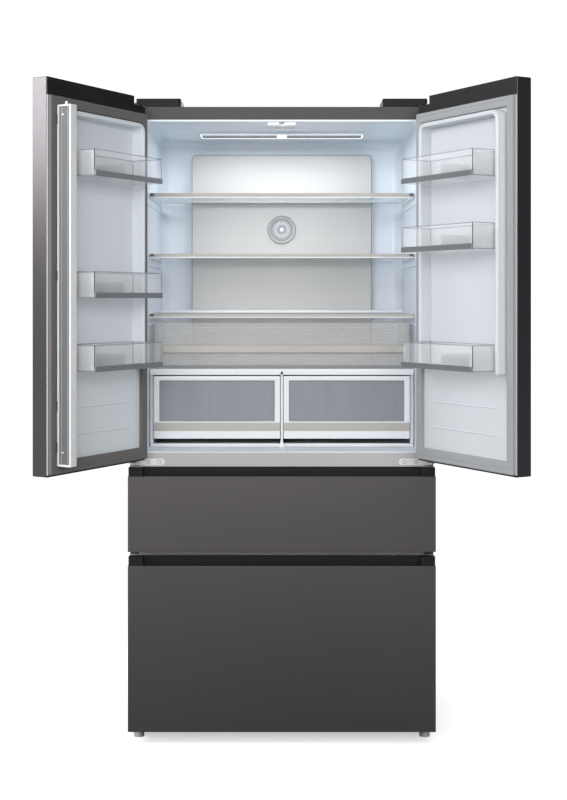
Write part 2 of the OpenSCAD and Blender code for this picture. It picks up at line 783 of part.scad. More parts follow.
cabinet_shell();
back_panel();
insulation_panels();
fridge_liner();
freezer_liner();
middle_beam();
drawer_crossbeam();
base_frame();
compressor();
condenser_coil();
condenser_fan();
drain_pan();
machine_cover();
control_box();
evaporator();
evaporator_cover();
evaporator_fan();
duct_panel();
purifier_cap();
ceiling_lamp();
mullion_guide();
door_hinges();
hinge_covers();
upper_shelf();
lower_shelf();
cover_shelf();
crisper_frame();
drawer_rails();
front_foot_left();
front_foot_right();
rear_roller_left();
rear_roller_right();
left_door_skin();
left_door_caps();
left_door_foam();
left_door_liner();
left_door_seal();
left_door_bins();
left_bin_trims();
flip_mullion();
right_door_skin();
right_door_caps();
right_door_foam();
right_door_liner();
right_door_seal();
right_door_bins();
right_bin_trims();
fresh_drawer();
left_crisper_tub();
left_crisper_front();
right_crisper_tub();
right_crisper_front();
upper_drawer_front();
upper_drawer_core();
upper_drawer_grip();
upper_drawer_basket();
lower_drawer_front();
lower_drawer_core();
lower_drawer_grip();
lower_drawer_basket();
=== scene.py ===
"""Looks of the french door refrigerator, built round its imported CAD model.

Shapes are made in millimetres, in one of three places: HOME, where y = 0 is the outer face of the
closed doors and z = 0 the floor, and LEFT and RIGHT, where x runs along an open door from its hinge end
and y back from its outer face.
"""
import json
import math

import bmesh
import bpy
from mathutils import Matrix, Vector


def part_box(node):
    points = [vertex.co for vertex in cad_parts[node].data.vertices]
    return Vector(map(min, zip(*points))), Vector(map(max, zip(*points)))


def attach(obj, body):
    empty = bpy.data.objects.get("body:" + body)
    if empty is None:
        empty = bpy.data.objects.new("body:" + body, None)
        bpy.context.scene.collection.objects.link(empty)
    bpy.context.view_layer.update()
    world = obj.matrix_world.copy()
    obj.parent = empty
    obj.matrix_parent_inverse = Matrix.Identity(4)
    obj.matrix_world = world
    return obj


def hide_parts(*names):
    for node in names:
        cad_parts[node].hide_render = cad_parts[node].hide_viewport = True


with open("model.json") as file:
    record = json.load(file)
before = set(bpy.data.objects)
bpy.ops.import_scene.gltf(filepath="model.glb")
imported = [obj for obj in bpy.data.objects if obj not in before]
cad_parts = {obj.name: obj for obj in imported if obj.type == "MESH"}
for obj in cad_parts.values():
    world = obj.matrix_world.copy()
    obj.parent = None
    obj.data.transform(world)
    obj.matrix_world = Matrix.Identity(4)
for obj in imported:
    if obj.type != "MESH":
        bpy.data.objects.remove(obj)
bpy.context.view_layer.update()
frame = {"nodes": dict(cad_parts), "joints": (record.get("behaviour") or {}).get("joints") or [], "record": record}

MM = 0.001


# ---------- places, from the frame ----------

JOINTS = {joint["name"]: joint for joint in frame["joints"]}
FRONT_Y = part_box("upper_drawer_front")[0].y
HOME = Matrix.Translation((0.0, FRONT_Y, 0.0)) @ Matrix.Scale(MM, 4)


def door_place(joint_name, mirrored):
    """Where a door's own flat coordinates lie while it stands open."""
    joint = JOINTS[joint_name]
    pivot = Vector(joint["pos_m"])
    opened = math.radians(-joint["range_deg"][0])
    half_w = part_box("cabinet_shell")[1].x
    pivot_u = half_w - abs(pivot.x)
    pivot_v = pivot.y - FRONT_Y
    flat = Matrix.Translation((-pivot_u, -pivot_v, 0.0)) @ Matrix.Scale(MM, 4)
    place = Matrix.Translation((-abs(pivot.x), pivot.y, 0.0)) @ Matrix.Rotation(-opened, 4, "Z") @ flat
    return Matrix.Scale(-1.0, 4, (1.0, 0.0, 0.0)) @ place if mirrored else place


LEFT = door_place("left_door_swing", False)
RIGHT = door_place("right_door_swing", True)


def node_mm(name):
    """A cabinet node's box in HOME millimetres: low corner, high corner."""
    low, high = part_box(name)
    shift = Vector((0.0, FRONT_Y, 0.0))
    return (low - shift) / MM, (high - shift) / MM


def both_sides(x0, x1):
    """A span of x and its mirror image, left one first."""
    return tuple(sorted((side * x0, side * x1)) for side in (-1.0, 1.0))


# ---------- mesh making ----------


def flat_box(bm, low, high):
    corners = [
        bm.verts.new((x, y, z))
        for z in (low[2], high[2])
        for x, y in ((low[0], low[1]), (high[0], low[1]), (high[0], high[1]), (low[0], high[1]))
    ]
    for face in ((3, 2, 1, 0), (4, 5, 6, 7), (0, 1, 5, 4), (1, 2, 6, 5), (2, 3, 7, 6), (3, 0, 4, 7)):
        bm.faces.new([corners[i] for i in face])


def loft(bm, rings, closed=False):
    """Joins rings of points. An open loft gets a flat cap on each end."""
    made = [[bm.verts.new(point) for point in ring] for ring in rings]
    pairs = list(zip(made, made[1:]))
    if closed:
        pairs.append((made[-1], made[0]))
    count = len(made[0])
    for ring, following in pairs:
        for i in range(count):
            j = (i + 1) % count
            bm.faces.new((ring[i], ring[j], following[j], following[i]))
    if not closed:
        bm.faces.new(made[0][::-1])
        bm.faces.new(made[-1])


PLANES = {
    "xy": lambda a, b, d: (a, b, d),
    "xz": lambda a, b, d: (a, d, b),
    "yz": lambda a, b, d: (d, a, b),
}


def rect_ring(a0, a1, b0, b1, radii, steps):
    """Outline of a rectangle with a radius for each corner, counted from the high a, high b one."""
    ring = []
    for quarter, radius in enumerate(radii):
        r = max(radius, 0.05)
        a = a1 - r if quarter in (0, 3) else a0 + r
        b = b1 - r if quarter in (0, 1) else b0 + r
        for i in range(steps + 1):
            angle = math.radians(90.0 * (quarter + i / steps))
            ring.append((a + r * math.cos(angle), b + r * math.sin(angle)))
    return ring


def swept(bm, rect, radius, profile, plane="xy", closed=False, steps=5):
    """Takes a profile of (inset, depth) or (inset, depth, corner radius or four radii) round a rectangle.

    An inset is one number, or one for each of the rectangle's sides: low a, high a, low b, high b."""
    a0, a1, b0, b1 = rect
    rings = []
    for step in profile:
        inset, depth = step[0], step[1]
        i = inset if isinstance(inset, tuple) else (inset,) * 4
        corner = step[2] if len(step) > 2 else radius - max(i)
        radii = corner if isinstance(corner, tuple) else (corner,) * 4
        ring = rect_ring(a0 + i[0], a1 - i[1], b0 + i[2], b1 - i[3], radii, steps)
        rings.append([PLANES[plane](a, b, depth) for a, b in ring])
    loft(bm, rings, closed)


def edged(back, brink, inset, front):
    """Profile of a plain moulding: straight from its back to a brink, then in to its front."""
    return [(0.0, back), (0.0, brink), (inset, front)]


def prism(bm, outline, start, end):
    """An outline in x and z, pushed along y."""
    loft(bm, [[(x, y, z) for x, z in outline] for y in (start, end)])


def lathe(bm, profile, at, axis="z", steps=40):
    """Turns a profile of (radius, height) about an axis through a point."""
    rings = []
    for radius, height in profile:
        ring = []
        for i in range(steps):
            angle = 2.0 * math.pi * i / steps
            c, s = max(radius, 0.02) * math.cos(angle), max(radius, 0.02) * math.sin(angle)
            offset = {"z": (c, s, height), "y": (c, height, s), "x": (height, c, s)}[axis]
            ring.append(tuple(a + b for a, b in zip(at, offset)))
        rings.append(ring)
    loft(bm, rings)


def new_object(name, data):
    obj = bpy.data.objects.new(name, data)
    bpy.context.scene.collection.objects.link(obj)
    return obj


def piece(name, bm, place, body, material, slot, bevel=0.0, segments=3, replaces=(), sharp=38.0):
    """Turns a bmesh in millimetres into an object that rides on a body."""
    bmesh.ops.recalc_face_normals(bm, faces=bm.faces)
    bm.transform(place)
    if place.determinant() < 0.0:
        bmesh.ops.reverse_faces(bm, faces=bm.faces)
    mesh = bpy.data.meshes.new(name)
    bm.to_mesh(mesh)
    bm.free()
    mesh.shade_smooth()
    obj = new_object(name, mesh)
    if bevel:
        edges = obj.modifiers.new("soft edges", "BEVEL")
        edges.width = bevel * MM
        edges.segments = segments
        edges.limit_method = "ANGLE"
        edges.angle_limit = math.radians(sharp)
    else:
        mesh.set_sharp_from_angle(angle=math.radians(sharp))
    flats = obj.modifiers.new("true flats", "WEIGHTED_NORMAL")
    flats.weight = 100
    flats.keep_sharp = True
    mesh.materials.append(material)
    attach(obj, body)
    if replaces:
        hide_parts(*replaces)


def fixed(name, bm, material, slot, **details):
    piece(name, bm, HOME, "cabinet", material, slot, **details)


def softened(node, material, bevel, segments=2):
    """A copy of a CAD node with rounded edges, which stands for it."""
    source = frame["nodes"][node]
    bm = bmesh.new()
    bm.from_mesh(source.data)
    bmesh.ops.remove_doubles(bm, verts=bm.verts, dist=1e-6)
    bmesh.ops.dissolve_limit(bm, angle_limit=math.radians(1.0), verts=bm.verts, edges=bm.edges)
    slot = next(s["material_slot"] for s in frame["record"]["subparts"] if s["node"] == node)
    body = next(b for b, nodes in frame["record"]["behaviour"]["bodies"].items() if node in nodes)
    piece(node + "_soft", bm, Matrix.Identity(4), body, material, slot, bevel, segments, (node,), 30.0)


# ---------- materials ----------


def add(tree, kind, inputs=None, **attributes):
    """Adds a shader node. An input is a value, or the socket that feeds it."""
    node = tree.nodes.new(kind)
    for key, value in attributes.items():
        setattr(node, key, value)
    for key, value in (inputs or {}).items():
        if isinstance(value, bpy.types.NodeSocket):
            tree.links.new(value, node.inputs[key])
        else:
            node.inputs[key].default_value = value
    return node


def noise(tree, scale, detail=3.0, seed=0.0):
    """Noise over the object's own coordinates. Its scale, one number or one for each axis, is per metre."""
    place = add(tree, "ShaderNodeTexCoord")
    scales = scale if isinstance(scale, tuple) else (scale,) * 3
    stretch = add(tree, "ShaderNodeMapping", {
        "Vector": place.outputs["Object"], "Scale": scales, "Location": (seed,) * 3})
    made = add(tree, "ShaderNodeTexNoise", {"Vector": stretch.outputs["Vector"], "Scale": 1.0,
        "Detail": detail})
    return made.outputs["Fac"]


def ramp(tree, value, span, result=(0.0, 1.0)):
    """Takes a value's run from the first to the second of a span to a run between two results."""
    made = add(tree, "ShaderNodeMapRange", {
        "Value": value, "From Min": span[0], "From Max": span[1], "To Min": result[0], "To Max": result[1]})
    return made.outputs["Result"]


def product(tree, a, b):
    return add(tree, "ShaderNodeMath", {0: a, 1: b}, operation="MULTIPLY").outputs[0]


def between(tree, value, low, high):
    """Spreads noise, which lies mostly from 0.3 to 0.7, over a range."""
    return ramp(tree, value, (0.3, 0.7), (low, high))


def surface(name, color, rough, metallic=0.0, grain=900.0, blotch=3.0, tint=0.05,
            rough_spread=0.06, bump=0.15, bump_mm=0.1, detail=3.0, **sockets):
    """A surface with fine grain in its roughness and bump, and a broad drift in its colour."""
    mat = bpy.data.materials.new(name)
    mat.use_nodes = True
    tree = mat.node_tree
    shader = tree.nodes["Principled BSDF"]
    shader.inputs["Metallic"].default_value = metallic
    for key, value in sockets.items():
        shader.inputs[key.replace("_", " ")].default_value = value
    fine = noise(tree, grain, detail)
    broad = noise(tree, blotch, 2.0, 7.0)
    mixed = add(tree, "ShaderNodeMath", {0: fine, 1: broad}, operation="ADD")
    shade = between(tree, product(tree, mixed.outputs[0], 0.5), 0.0, 1.0)
    dark = tuple(c * (1.0 - tint) for c in color) + (1.0,)
    light = tuple(min(1.0, c * (1.0 + tint)) for c in color) + (1.0,)
    mix = add(tree, "ShaderNodeMix", {"Factor": shade}, data_type="RGBA")
    for socket in mix.inputs:
        if socket.type == "RGBA":
            socket.default_value = dark if socket.name == "A" else light
    color_out = next(s for s in mix.outputs if s.type == "RGBA")
    tree.links.new(color_out, shader.inputs["Base Color"])
    tree.links.new(between(tree, fine, rough - rough_spread, rough + rough_spread),
        shader.inputs["Roughness"])
    if bump:
        relief = add(tree, "ShaderNodeBump", {"Height": fine, "Strength": bump, "Distance": bump_mm * MM})
        tree.links.new(relief.outputs["Normal"], shader.inputs["Normal"])
    return mat


def see_through(name, color, rough, face_alpha, edge_alpha, grain=60.0):
    """A clear moulding or glass: thin when looked straight through, denser where the surface turns away."""
    mat = surface(name, color, rough, 0.0, grain, tint=0.02, rough_spread=rough * 0.3, bump=0.0)
    tree = mat.node_tree
    shader = tree.nodes["Principled BSDF"]
    turned = add(tree, "ShaderNodeLayerWeight", {"Blend": 0.35})
    cloud = noise(tree, grain, 1.0, 3.0)
    base = between(tree, cloud, face_alpha * 0.97, face_alpha * 1.03)
    alpha = ramp(tree, turned.outputs["Facing"], (0.15, 1.0), (base, edge_alpha))
    tree.links.new(alpha, shader.inputs["Alpha"])
    return mat


def inner_wall(name, color):
    """Smooth white moulding of the cabinet's and the doors' inner faces."""
    return surface(name, color, 0.30, grain=160.0, blotch=2.5, tint=0.008, rough_spread=0.02,
                   bump=0.01, bump_mm=0.01)


def seal_rubber(name, color):
    return surface(name, color, 0.7, grain=500.0, blotch=6.0, bump=0.1, bump_mm=0.05,
                   Specular_IOR_Level=0.3)


WHITE = (1.0, 1.0, 1.0, 1.0)
DARK_STEEL = surface("dark_steel", (0.108, 0.100, 0.106), 0.30, 0.88, grain=700.0, tint=0.03,
    rough_spread=0.03, bump=0.10, bump_mm=0.02)
SHELL_PAINT = surface("shell_paint", (0.052, 0.051, 0.052), 0.5, grain=1100.0, tint=0.05, bump=0.2,
    bump_mm=0.05, Specular_IOR_Level=0.35)
ZINC_SHEET = surface("zinc_sheet", (0.34, 0.35, 0.36), 0.50, 0.7, (14.0, 14.0, 22.0), blotch=4.0,
    tint=0.05, rough_spread=0.05, bump=0.05)
LINER = inner_wall("white_moulding", (0.79, 0.84, 0.91))
# One moulding for both door liners: the right copy is darkened with painted shade, the left one kept lighter with
# painted light.
LEFT_LINER_LIGHTENED = inner_wall("door_moulding", (0.69, 0.725, 0.76))
RIGHT_LINER_SHADED = inner_wall("right_door_moulding_shaded", (0.60, 0.63, 0.66))
FRAME_WHITE = surface("frame_moulding", (0.80, 0.815, 0.84), 0.25, grain=240.0, tint=0.008,
    rough_spread=0.03, bump=0.015, bump_mm=0.01, Coat_Weight=0.2)
BLACK = surface("black_moulding", (0.010, 0.009, 0.0095), 0.40, grain=1500.0, tint=0.12,
    rough_spread=0.08, bump=0.35, bump_mm=0.05)
GRIP = surface("grip_moulding", (0.008, 0.0076, 0.0095), 0.5, grain=1500.0, tint=0.12, rough_spread=0.05,
    bump=0.2, bump_mm=0.03, Specular_IOR_Level=0.18)
# A little lighter than the grip: the bins' dark hooks, and the painted highlight along each drawer grip.
GRIP_END = surface("grip_end_moulding", (0.035, 0.034, 0.038), 0.5, grain=1500.0, tint=0.10,
    rough_spread=0.05, bump=0.2, bump_mm=0.03, Specular_IOR_Level=0.3)
SEAL = seal_rubber("seal_rubber", (0.17, 0.168, 0.172))
# One rubber for both door seals: the left copy is darkened with painted shade, the right one lightened with
# painted light.
LEFT_SEAL_SHADED = seal_rubber("left_seal_rubber_shaded", (0.142, 0.134, 0.132))
RIGHT_SEAL_LIT = seal_rubber("right_seal_rubber_lit", (0.32, 0.33, 0.345))
BEAM_PAINT = surface("beam_paint", (0.42, 0.42, 0.42), 0.40, 0.2, grain=1100.0, tint=0.03, bump=0.2,
    bump_mm=0.05)
CLEAR = see_through("clear_moulding", (0.88, 0.91, 0.94), 0.08, 0.055, 0.5)
BIN_END = see_through("clear_moulding_thick", (0.86, 0.885, 0.91), 0.25, 0.32, 0.6)
# Painted shade: grey see-through edges that stand for the darkening refraction gives along clear rims.
EDGE_PAINTED_SHADE = see_through("clear_edges_painted_shade", (0.30, 0.32, 0.34), 0.2, 0.55, 0.85)
GLASS = see_through("shelf_glass", (0.70, 0.80, 0.80), 0.03, 0.06, 0.6)
SMOKY = see_through("smoky_moulding", (0.42, 0.44, 0.475), 0.2, 0.5, 0.85, (60.0, 60.0, 5.0))
FRESH = see_through("fresh_moulding", (0.91, 0.90, 0.89), 0.12, 0.20, 0.55, (3.0, 3.0, 160.0))
BASKET = surface("milky_moulding", (0.70, 0.73, 0.77), 0.38, grain=200.0, tint=0.012, rough_spread=0.03,
    bump=0.03, bump_mm=0.02)
CHAMPAGNE = surface("champagne_trim", (0.44, 0.42, 0.385), 0.5, 0.2, (3.0, 3.0, 900.0), tint=0.04,
    rough_spread=0.04, bump=0.05, bump_mm=0.02)
GREY_TRIM = surface("grey_trim", (0.24, 0.24, 0.24), 0.34, 0.6, (3.0, 3.0, 900.0), tint=0.06,
    rough_spread=0.06, bump=0.08)
DARK_TIP = surface("dark_tip", (0.10, 0.10, 0.11), 0.4, 0.1, grain=1100.0, tint=0.08)
DUCT_STEEL = surface("duct_steel", (0.575, 0.562, 0.552), 0.60, 0.2, (900.0, 900.0, 2.0), blotch=2.0,
    tint=0.05, rough_spread=0.05, bump=0.08, bump_mm=0.03)
PANEL_EDGE = surface("panel_edge", (0.20, 0.21, 0.23), 0.5, 0.3, grain=1100.0, tint=0.05)
ZINC = surface("zinc_plate", (0.66, 0.66, 0.65), 0.42, 0.45, grain=70.0, blotch=30.0, tint=0.06,
    rough_spread=0.08, bump=0.05)
MULLION_WHITE = surface("mullion_white", (0.72, 0.72, 0.71), 0.3, grain=240.0, tint=0.012, bump=0.08,
    bump_mm=0.04, Coat_Weight=0.2)
MULLION_STEEL = surface("mullion_steel", (0.112, 0.118, 0.125), 0.5, 0.1, grain=(1400.0, 1400.0, 3.0),
    tint=0.05, rough_spread=0.06, bump=0.08)
CAP_SILVER = surface("cap_silver", (0.33, 0.335, 0.35), 0.6, grain=400.0, tint=0.03, bump=0.05)
LAMP_GLOW = surface("lamp_glow", (1.0, 1.0, 1.0), 0.4, grain=300.0, tint=0.02,
                    Emission_Color=WHITE, Emission_Strength=1.4)
LAMP_GREY = surface("lamp_grey", (0.36, 0.34, 0.34), 0.5, grain=300.0, tint=0.04)
FOAM = surface("rigid_foam", (0.80, 0.72, 0.50), 0.85, grain=350.0, blotch=20.0, tint=0.10, bump=0.7,
    bump_mm=0.5, detail=5.0)
ENAMEL = surface("black_enamel", (0.012, 0.012, 0.014), 0.22, grain=220.0, tint=0.1, bump=0.25,
    bump_mm=0.1, Coat_Weight=0.5)
COPPER = surface("copper", (0.72, 0.38, 0.24), 0.32, 1.0, grain=60.0, blotch=12.0, tint=0.18,
    rough_spread=0.12, bump=0.06)
ALUMINIUM = surface("bare_aluminium", (0.76, 0.77, 0.78), 0.36, 1.0, (40.0, 40.0, 400.0), tint=0.07,
    rough_spread=0.10, bump=0.08)
PAN = surface("pan_moulding", (0.62, 0.63, 0.61), 0.5, grain=300.0, tint=0.04, bump=0.2)
TYRE = surface("roller_moulding", (0.03, 0.03, 0.03), 0.55, grain=500.0, tint=0.15, bump=0.3)


# ---------- camera, floor and light ----------

EYE_BACK = 3.6055    # camera to the closed doors' outer face, in metres
EYE_HEIGHT = 1.204
BACKDROP = 1.05               # strength of the white that the camera sees
FLOOR_FADE = (0.7, 1.9)       # metres from the middle over which the floor turns white to the eye
FAR_FLOOR = (1.4, 4.0)        # metres from the middle over which, as light, it grows brighter
DIM_RIGHT_FLOOR = (0.9, 2.0)  # x over which that light fades out again


def set_view():
    """Plain colours, with no film curve."""
    view = bpy.context.scene.view_settings
    view.view_transform = "Standard"
    view.look = "None"


def make_camera():
    data = bpy.data.cameras.new("camera")
    data.lens = 60.02
    data.sensor_width = 36.0
    data.shift_x = 0.0021
    data.shift_y = -0.12575
    camera = new_object("camera", data)
    camera.location = (0.0, FRONT_Y - EYE_BACK, EYE_HEIGHT)
    camera.rotation_euler = (math.radians(90.0), 0.0, 0.0)
    bpy.context.scene.camera = camera


def mix_shaders(tree, factor, first, second):
    return add(tree, "ShaderNodeMixShader", {0: factor, 1: first.outputs[0], 2: second.outputs[0]})


def floor_material():
    """Pale floor that shows soft shadows near the refrigerator and fades to white further off.

    What it lends to the light on the refrigerator is set apart from what the camera sees."""
    mat = surface("studio_floor", (0.86, 0.86, 0.86), 0.8, grain=40.0, tint=0.01, bump=0.0)
    tree = mat.node_tree
    place = add(tree, "ShaderNodeTexCoord")
    distance = add(tree, "ShaderNodeVectorMath", {0: place.outputs["Object"]}, operation="LENGTH")
    reach = distance.outputs["Value"]
    fade = ramp(tree, reach, FLOOR_FADE)
    path = add(tree, "ShaderNodeLightPath")
    seen = product(tree, fade, path.outputs["Is Camera Ray"])
    white = add(tree, "ShaderNodeEmission", {"Color": WHITE, "Strength": BACKDROP})
    lift = add(tree, "ShaderNodeEmission", {"Color": WHITE, "Strength": 0.5})
    plain = tree.nodes["Principled BSDF"]
    near = add(tree, "ShaderNodeAddShader", {0: plain.outputs[0], 1: lift.outputs[0]})
    pale = mix_shaders(tree, seen, near, white)
    near_light = add(tree, "ShaderNodeBsdfDiffuse", {"Color": (0.32, 0.32, 0.33, 1.0)})
    far_light = add(tree, "ShaderNodeEmission", {"Color": WHITE, "Strength": 0.75})
    away = ramp(tree, reach, FAR_FLOOR)
    across = add(tree, "ShaderNodeSeparateXYZ", {0: place.outputs["Object"]})
    left = ramp(tree, across.outputs["X"], DIM_RIGHT_FLOOR, (1.0, 0.0))
    lit = product(tree, away, left)
    bounce = mix_shaders(tree, lit, near_light, far_light)
    mix = mix_shaders(tree, path.outputs["Is Camera Ray"], bounce, pale)
    tree.links.new(mix.outputs[0], tree.nodes["Material Output"].inputs["Surface"])
    return mat


def make_floor():
    bm = bmesh.new()
    bmesh.ops.create_grid(bm, x_segments=8, y_segments=8, size=30.0)
    mesh = bpy.data.meshes.new("floor")
    bm.to_mesh(mesh)
    bm.free()
    mesh.materials.append(floor_material())
    floor = new_object("floor", mesh)
    floor.location.z = -0.5 * MM


def make_world():
    """A white room to the eye. As light it is dim low down and towards +X, and bright overhead."""
    world = bpy.data.worlds.new("studio")
    bpy.context.scene.world = world
    world.use_nodes = True
    tree = world.node_tree
    shown = tree.nodes["Background"]
    shown.inputs["Color"].default_value = WHITE
    shown.inputs["Strength"].default_value = BACKDROP
    place = add(tree, "ShaderNodeTexCoord")
    split = add(tree, "ShaderNodeSeparateXYZ", {"Vector": place.outputs["Generated"]})
    height = ramp(tree, split.outputs["Z"], (-0.30, 0.60), (0.12, 1.0))
    side = ramp(tree, split.outputs["X"], (0.20, 0.85), (1.0, 0.08))
    strength = product(tree, product(tree, height, side), 0.70)
    lit = add(tree, "ShaderNodeBackground", {"Color": WHITE, "Strength": strength})
    path = add(tree, "ShaderNodeLightPath")
    mix = mix_shaders(tree, path.outputs["Is Camera Ray"], lit, shown)
    tree.links.new(mix.outputs[0], tree.nodes["World Output"].inputs["Surface"])


def area_light(name, at, aim, size, watts, color=(1.0, 1.0, 1.0)):
    data = bpy.data.lights.new(name, "AREA")
    data.shape = "RECTANGLE"
    data.size, data.size_y = size
    data.energy = watts
    data.color = color
    light = new_object(name, data)
    light.location = at
    light.rotation_euler = (Vector(aim) - Vector(at)).to_track_quat("-Z", "Y").to_euler()
    light.visible_camera = False
    return light


def make_lights():
    """Soft boxes round the refrigerator, and a weak cool light under the ceiling lamp."""
    area_light("left_softbox", at=(-3.3, -1.7, 2.7), aim=(-0.5, -0.3, 1.4), size=(1.5, 1.9), watts=84.0)
    area_light("right_softbox", at=(2.2, -4.2, 2.4), aim=(0.0, -0.1, 1.0), size=(1.6, 1.4), watts=48.0)
    area_light("front_softbox", at=(-0.7, -4.8, 2.0), aim=(0.0, 0.0, 0.8), size=(2.8, 1.6), watts=100.0)
    area_light("back_softbox", at=(0.6, 4.0, 2.6), aim=(0.0, 0.3, 0.9), size=(3.0, 2.0), watts=60.0)
    low, high = node_mm("ceiling_lamp")
    middle = HOME @ Vector((0.0, (low.y + high.y) / 2 + 45.0, low.z - 6.0))
    below = middle - Vector((0.0, 0.05, 1.0))
    lamp = area_light("lamp_light", middle, below, size=(0.44, 0.10), watts=1.6, color=(0.93, 0.97, 1.0))
    lamp.visible_glossy = False


# ---------- cabinet ----------

LINER_LOW, LINER_HIGH = node_mm("fridge_liner")
FACE_Y = LINER_LOW.y    # the cabinet's front face, which the seals meet
WALL = 3.0
LIP = 14.0              # how far the liner's lip stands out past its wall, at each side
ROOM_X = LINER_HIGH.x - LIP - WALL
ROOM_BACK = LINER_HIGH.y - WALL
FLOOR_Z = LINER_LOW.z + WALL
ROOF_Z = LINER_HIGH.z - 5.5
SHELVES = ("upper_shelf", "lower_shelf", "cover_shelf")
SHELF_LIP = 6.0         # the rear lip stands this far above the glass


def shelf_top(name):
    """Height of the glass."""
    return node_mm(name)[1].z - SHELF_LIP


def fridge_liner():
    """The vacuum-formed tub: a lip round the mouth, a soft mouth edge and wide fillets at the back."""
    bm = bmesh.new()
    lip = (-LIP - WALL, -LIP - WALL, -WALL, -5.5)
    y = FACE_Y
    corners = (14.0, 14.0, 5.0, 5.0)
    fillet = 32.0
    profile = [(-WALL, ROOM_BACK + WALL, 20.0), (-WALL, y + 5.0, 8.0), (lip, y + 2.0, 3.0)]
    profile += [(lip, y + 0.4, 3.0), (tuple(i + 0.5 for i in lip), y, 3.0), (-1.6, y, 8.0)]
    profile += [(-0.5, y + 0.5, 8.0), (0.0, y + 1.8, corners), (0.0, ROOM_BACK - fillet, corners)]
    for i in range(1, 7):
        angle = math.radians(15.0 * i)
        inset = fillet * (1.0 - math.cos(angle))
        depth = ROOM_BACK - fillet * (1.0 - math.sin(angle))
        profile.append((inset, depth, tuple(c + inset * 0.3 for c in corners)))
    swept(bm, (-ROOM_X, ROOM_X, FLOOR_Z, ROOF_Z), 5.0, profile, "xz", steps=4)
    fixed("fridge_liner_shell", bm, LINER, "white_liner", replaces=("fridge_liner",), sharp=50.0)


def shelf_ledges():
    """Moulded supports under each shelf, with a rounded nose and a raised bead along the wall."""
    bm = bmesh.new()
    ledge_front, ledge_back = 170.0, 500.0
    bead_front, bead_back = 120.0, 515.0
    for name in SHELVES:
        top, low = shelf_top(name) - 4.6, shelf_top(name) - 30.0
        for side in (-1.0, 1.0):
            wall, out, nose = side * (ROOM_X + 0.3), side * (ROOM_X - 7.0), side * (ROOM_X - 2.5)
            ledge = [(wall, top), (out, top), (out, top - 6.0), (wall, top - 13.0)]
            prism(bm, ledge[::int(side)], ledge_front, ledge_back)
            bead = [(wall, low), (nose, low - 1.0), (nose, low - 5.0), (wall, low - 6.0)]
            prism(bm, bead[::int(side)], bead_front, bead_back)
    fixed("shelf_ledges", bm, LINER, "white_liner", bevel=1.2)


def screw(bm, at, radius, axis, facing=-1.0):
    """A domed screw head with a recess sunk in its middle."""
    r, f = radius, facing
    profile = [(0.0, 0.0), (r, 0.0), (r, f * 0.5), (r * 0.9, f * 1.1), (r * 0.65, f * 1.6)]
    profile += [(r * 0.42, f * 1.75), (r * 0.40, f * 1.0), (0.0, f * 0.9)]
    lathe(bm, profile, at, axis, 28)


def hinge_details():
    """Screws on the hinge plates, a dark disc of painted shade round each front one, and washers round the pins.
    """
    low, high = node_mm("door_hinges")
    front_screws = (336.0, 368.0)
    top_screws = ((388.0, 74.0), (352.0, 112.0), (352.0, 74.0))
    pivot = JOINTS["left_door_swing"]["pos_m"]
    pivot_x, pivot_y = abs(pivot[0]) / MM, (pivot[1] - FRONT_Y) / MM
    plate_y, plate_z = FACE_Y - 2.0, low.z + 9.0
    heads, washers, rings = bmesh.new(), bmesh.new(), bmesh.new()
    ring = [(0.0, 0.0), (5.6, 0.0), (5.6, -0.5), (3.5, -0.6), (0.0, -0.2)]
    washer = [(0.0, 0.0), (8.8, 0.0), (9.4, 0.6), (9.4, 3.0), (8.6, 3.8), (5.0, 3.8), (5.0, 0.5)]
    for side in (-1.0, 1.0):
        for x in front_screws:
            screw(heads, (side * x, plate_y - 0.3, plate_z), 3.6, "y")
            # painted shade: a flat dark disc where a recess round the screw would be
            lathe(rings, ring, (side * x, plate_y + 0.1, plate_z), "y", 28)
        for x, y in top_screws:
            screw(heads, (side * x, y, high.z - 2.0), 4.6, "z", 1.0)
        lathe(washers, washer, (side * pivot_x, pivot_y, plate_z + 4.0))
    fixed("hinge_screw_recess_shade", rings, DARK_TIP, "zinc_steel")
    fixed("hinge_screws", heads, ZINC, "zinc_steel")
    fixed("hinge_washers", washers, GREY_TRIM, "zinc_steel")


def mouth_frame():
    """Painted strips that close the insulation round the freezer opening."""
    bm = bmesh.new()
    low, high = node_mm("freezer_liner")
    wall, sill = high.x, low.z - 0.3
    bar_low, bar_high = node_mm("drawer_crossbeam")
    beam_z = node_mm("middle_beam")[0].z
    near, far, out = FACE_Y + 0.1, FACE_Y + 1.9, wall + 13.0
    base = 63.0
    flat_box(bm, (-out, near, base), (out, far, sill))
    for a, b in both_sides(wall + 0.3, out):
        flat_box(bm, (a, near, sill), (b, far, bar_low.z - 0.3))
        flat_box(bm, (a, near, bar_high.z + 0.3), (b, far, beam_z - 0.3))
    fixed("mouth_frame", bm, BEAM_PAINT, "grey_beam")


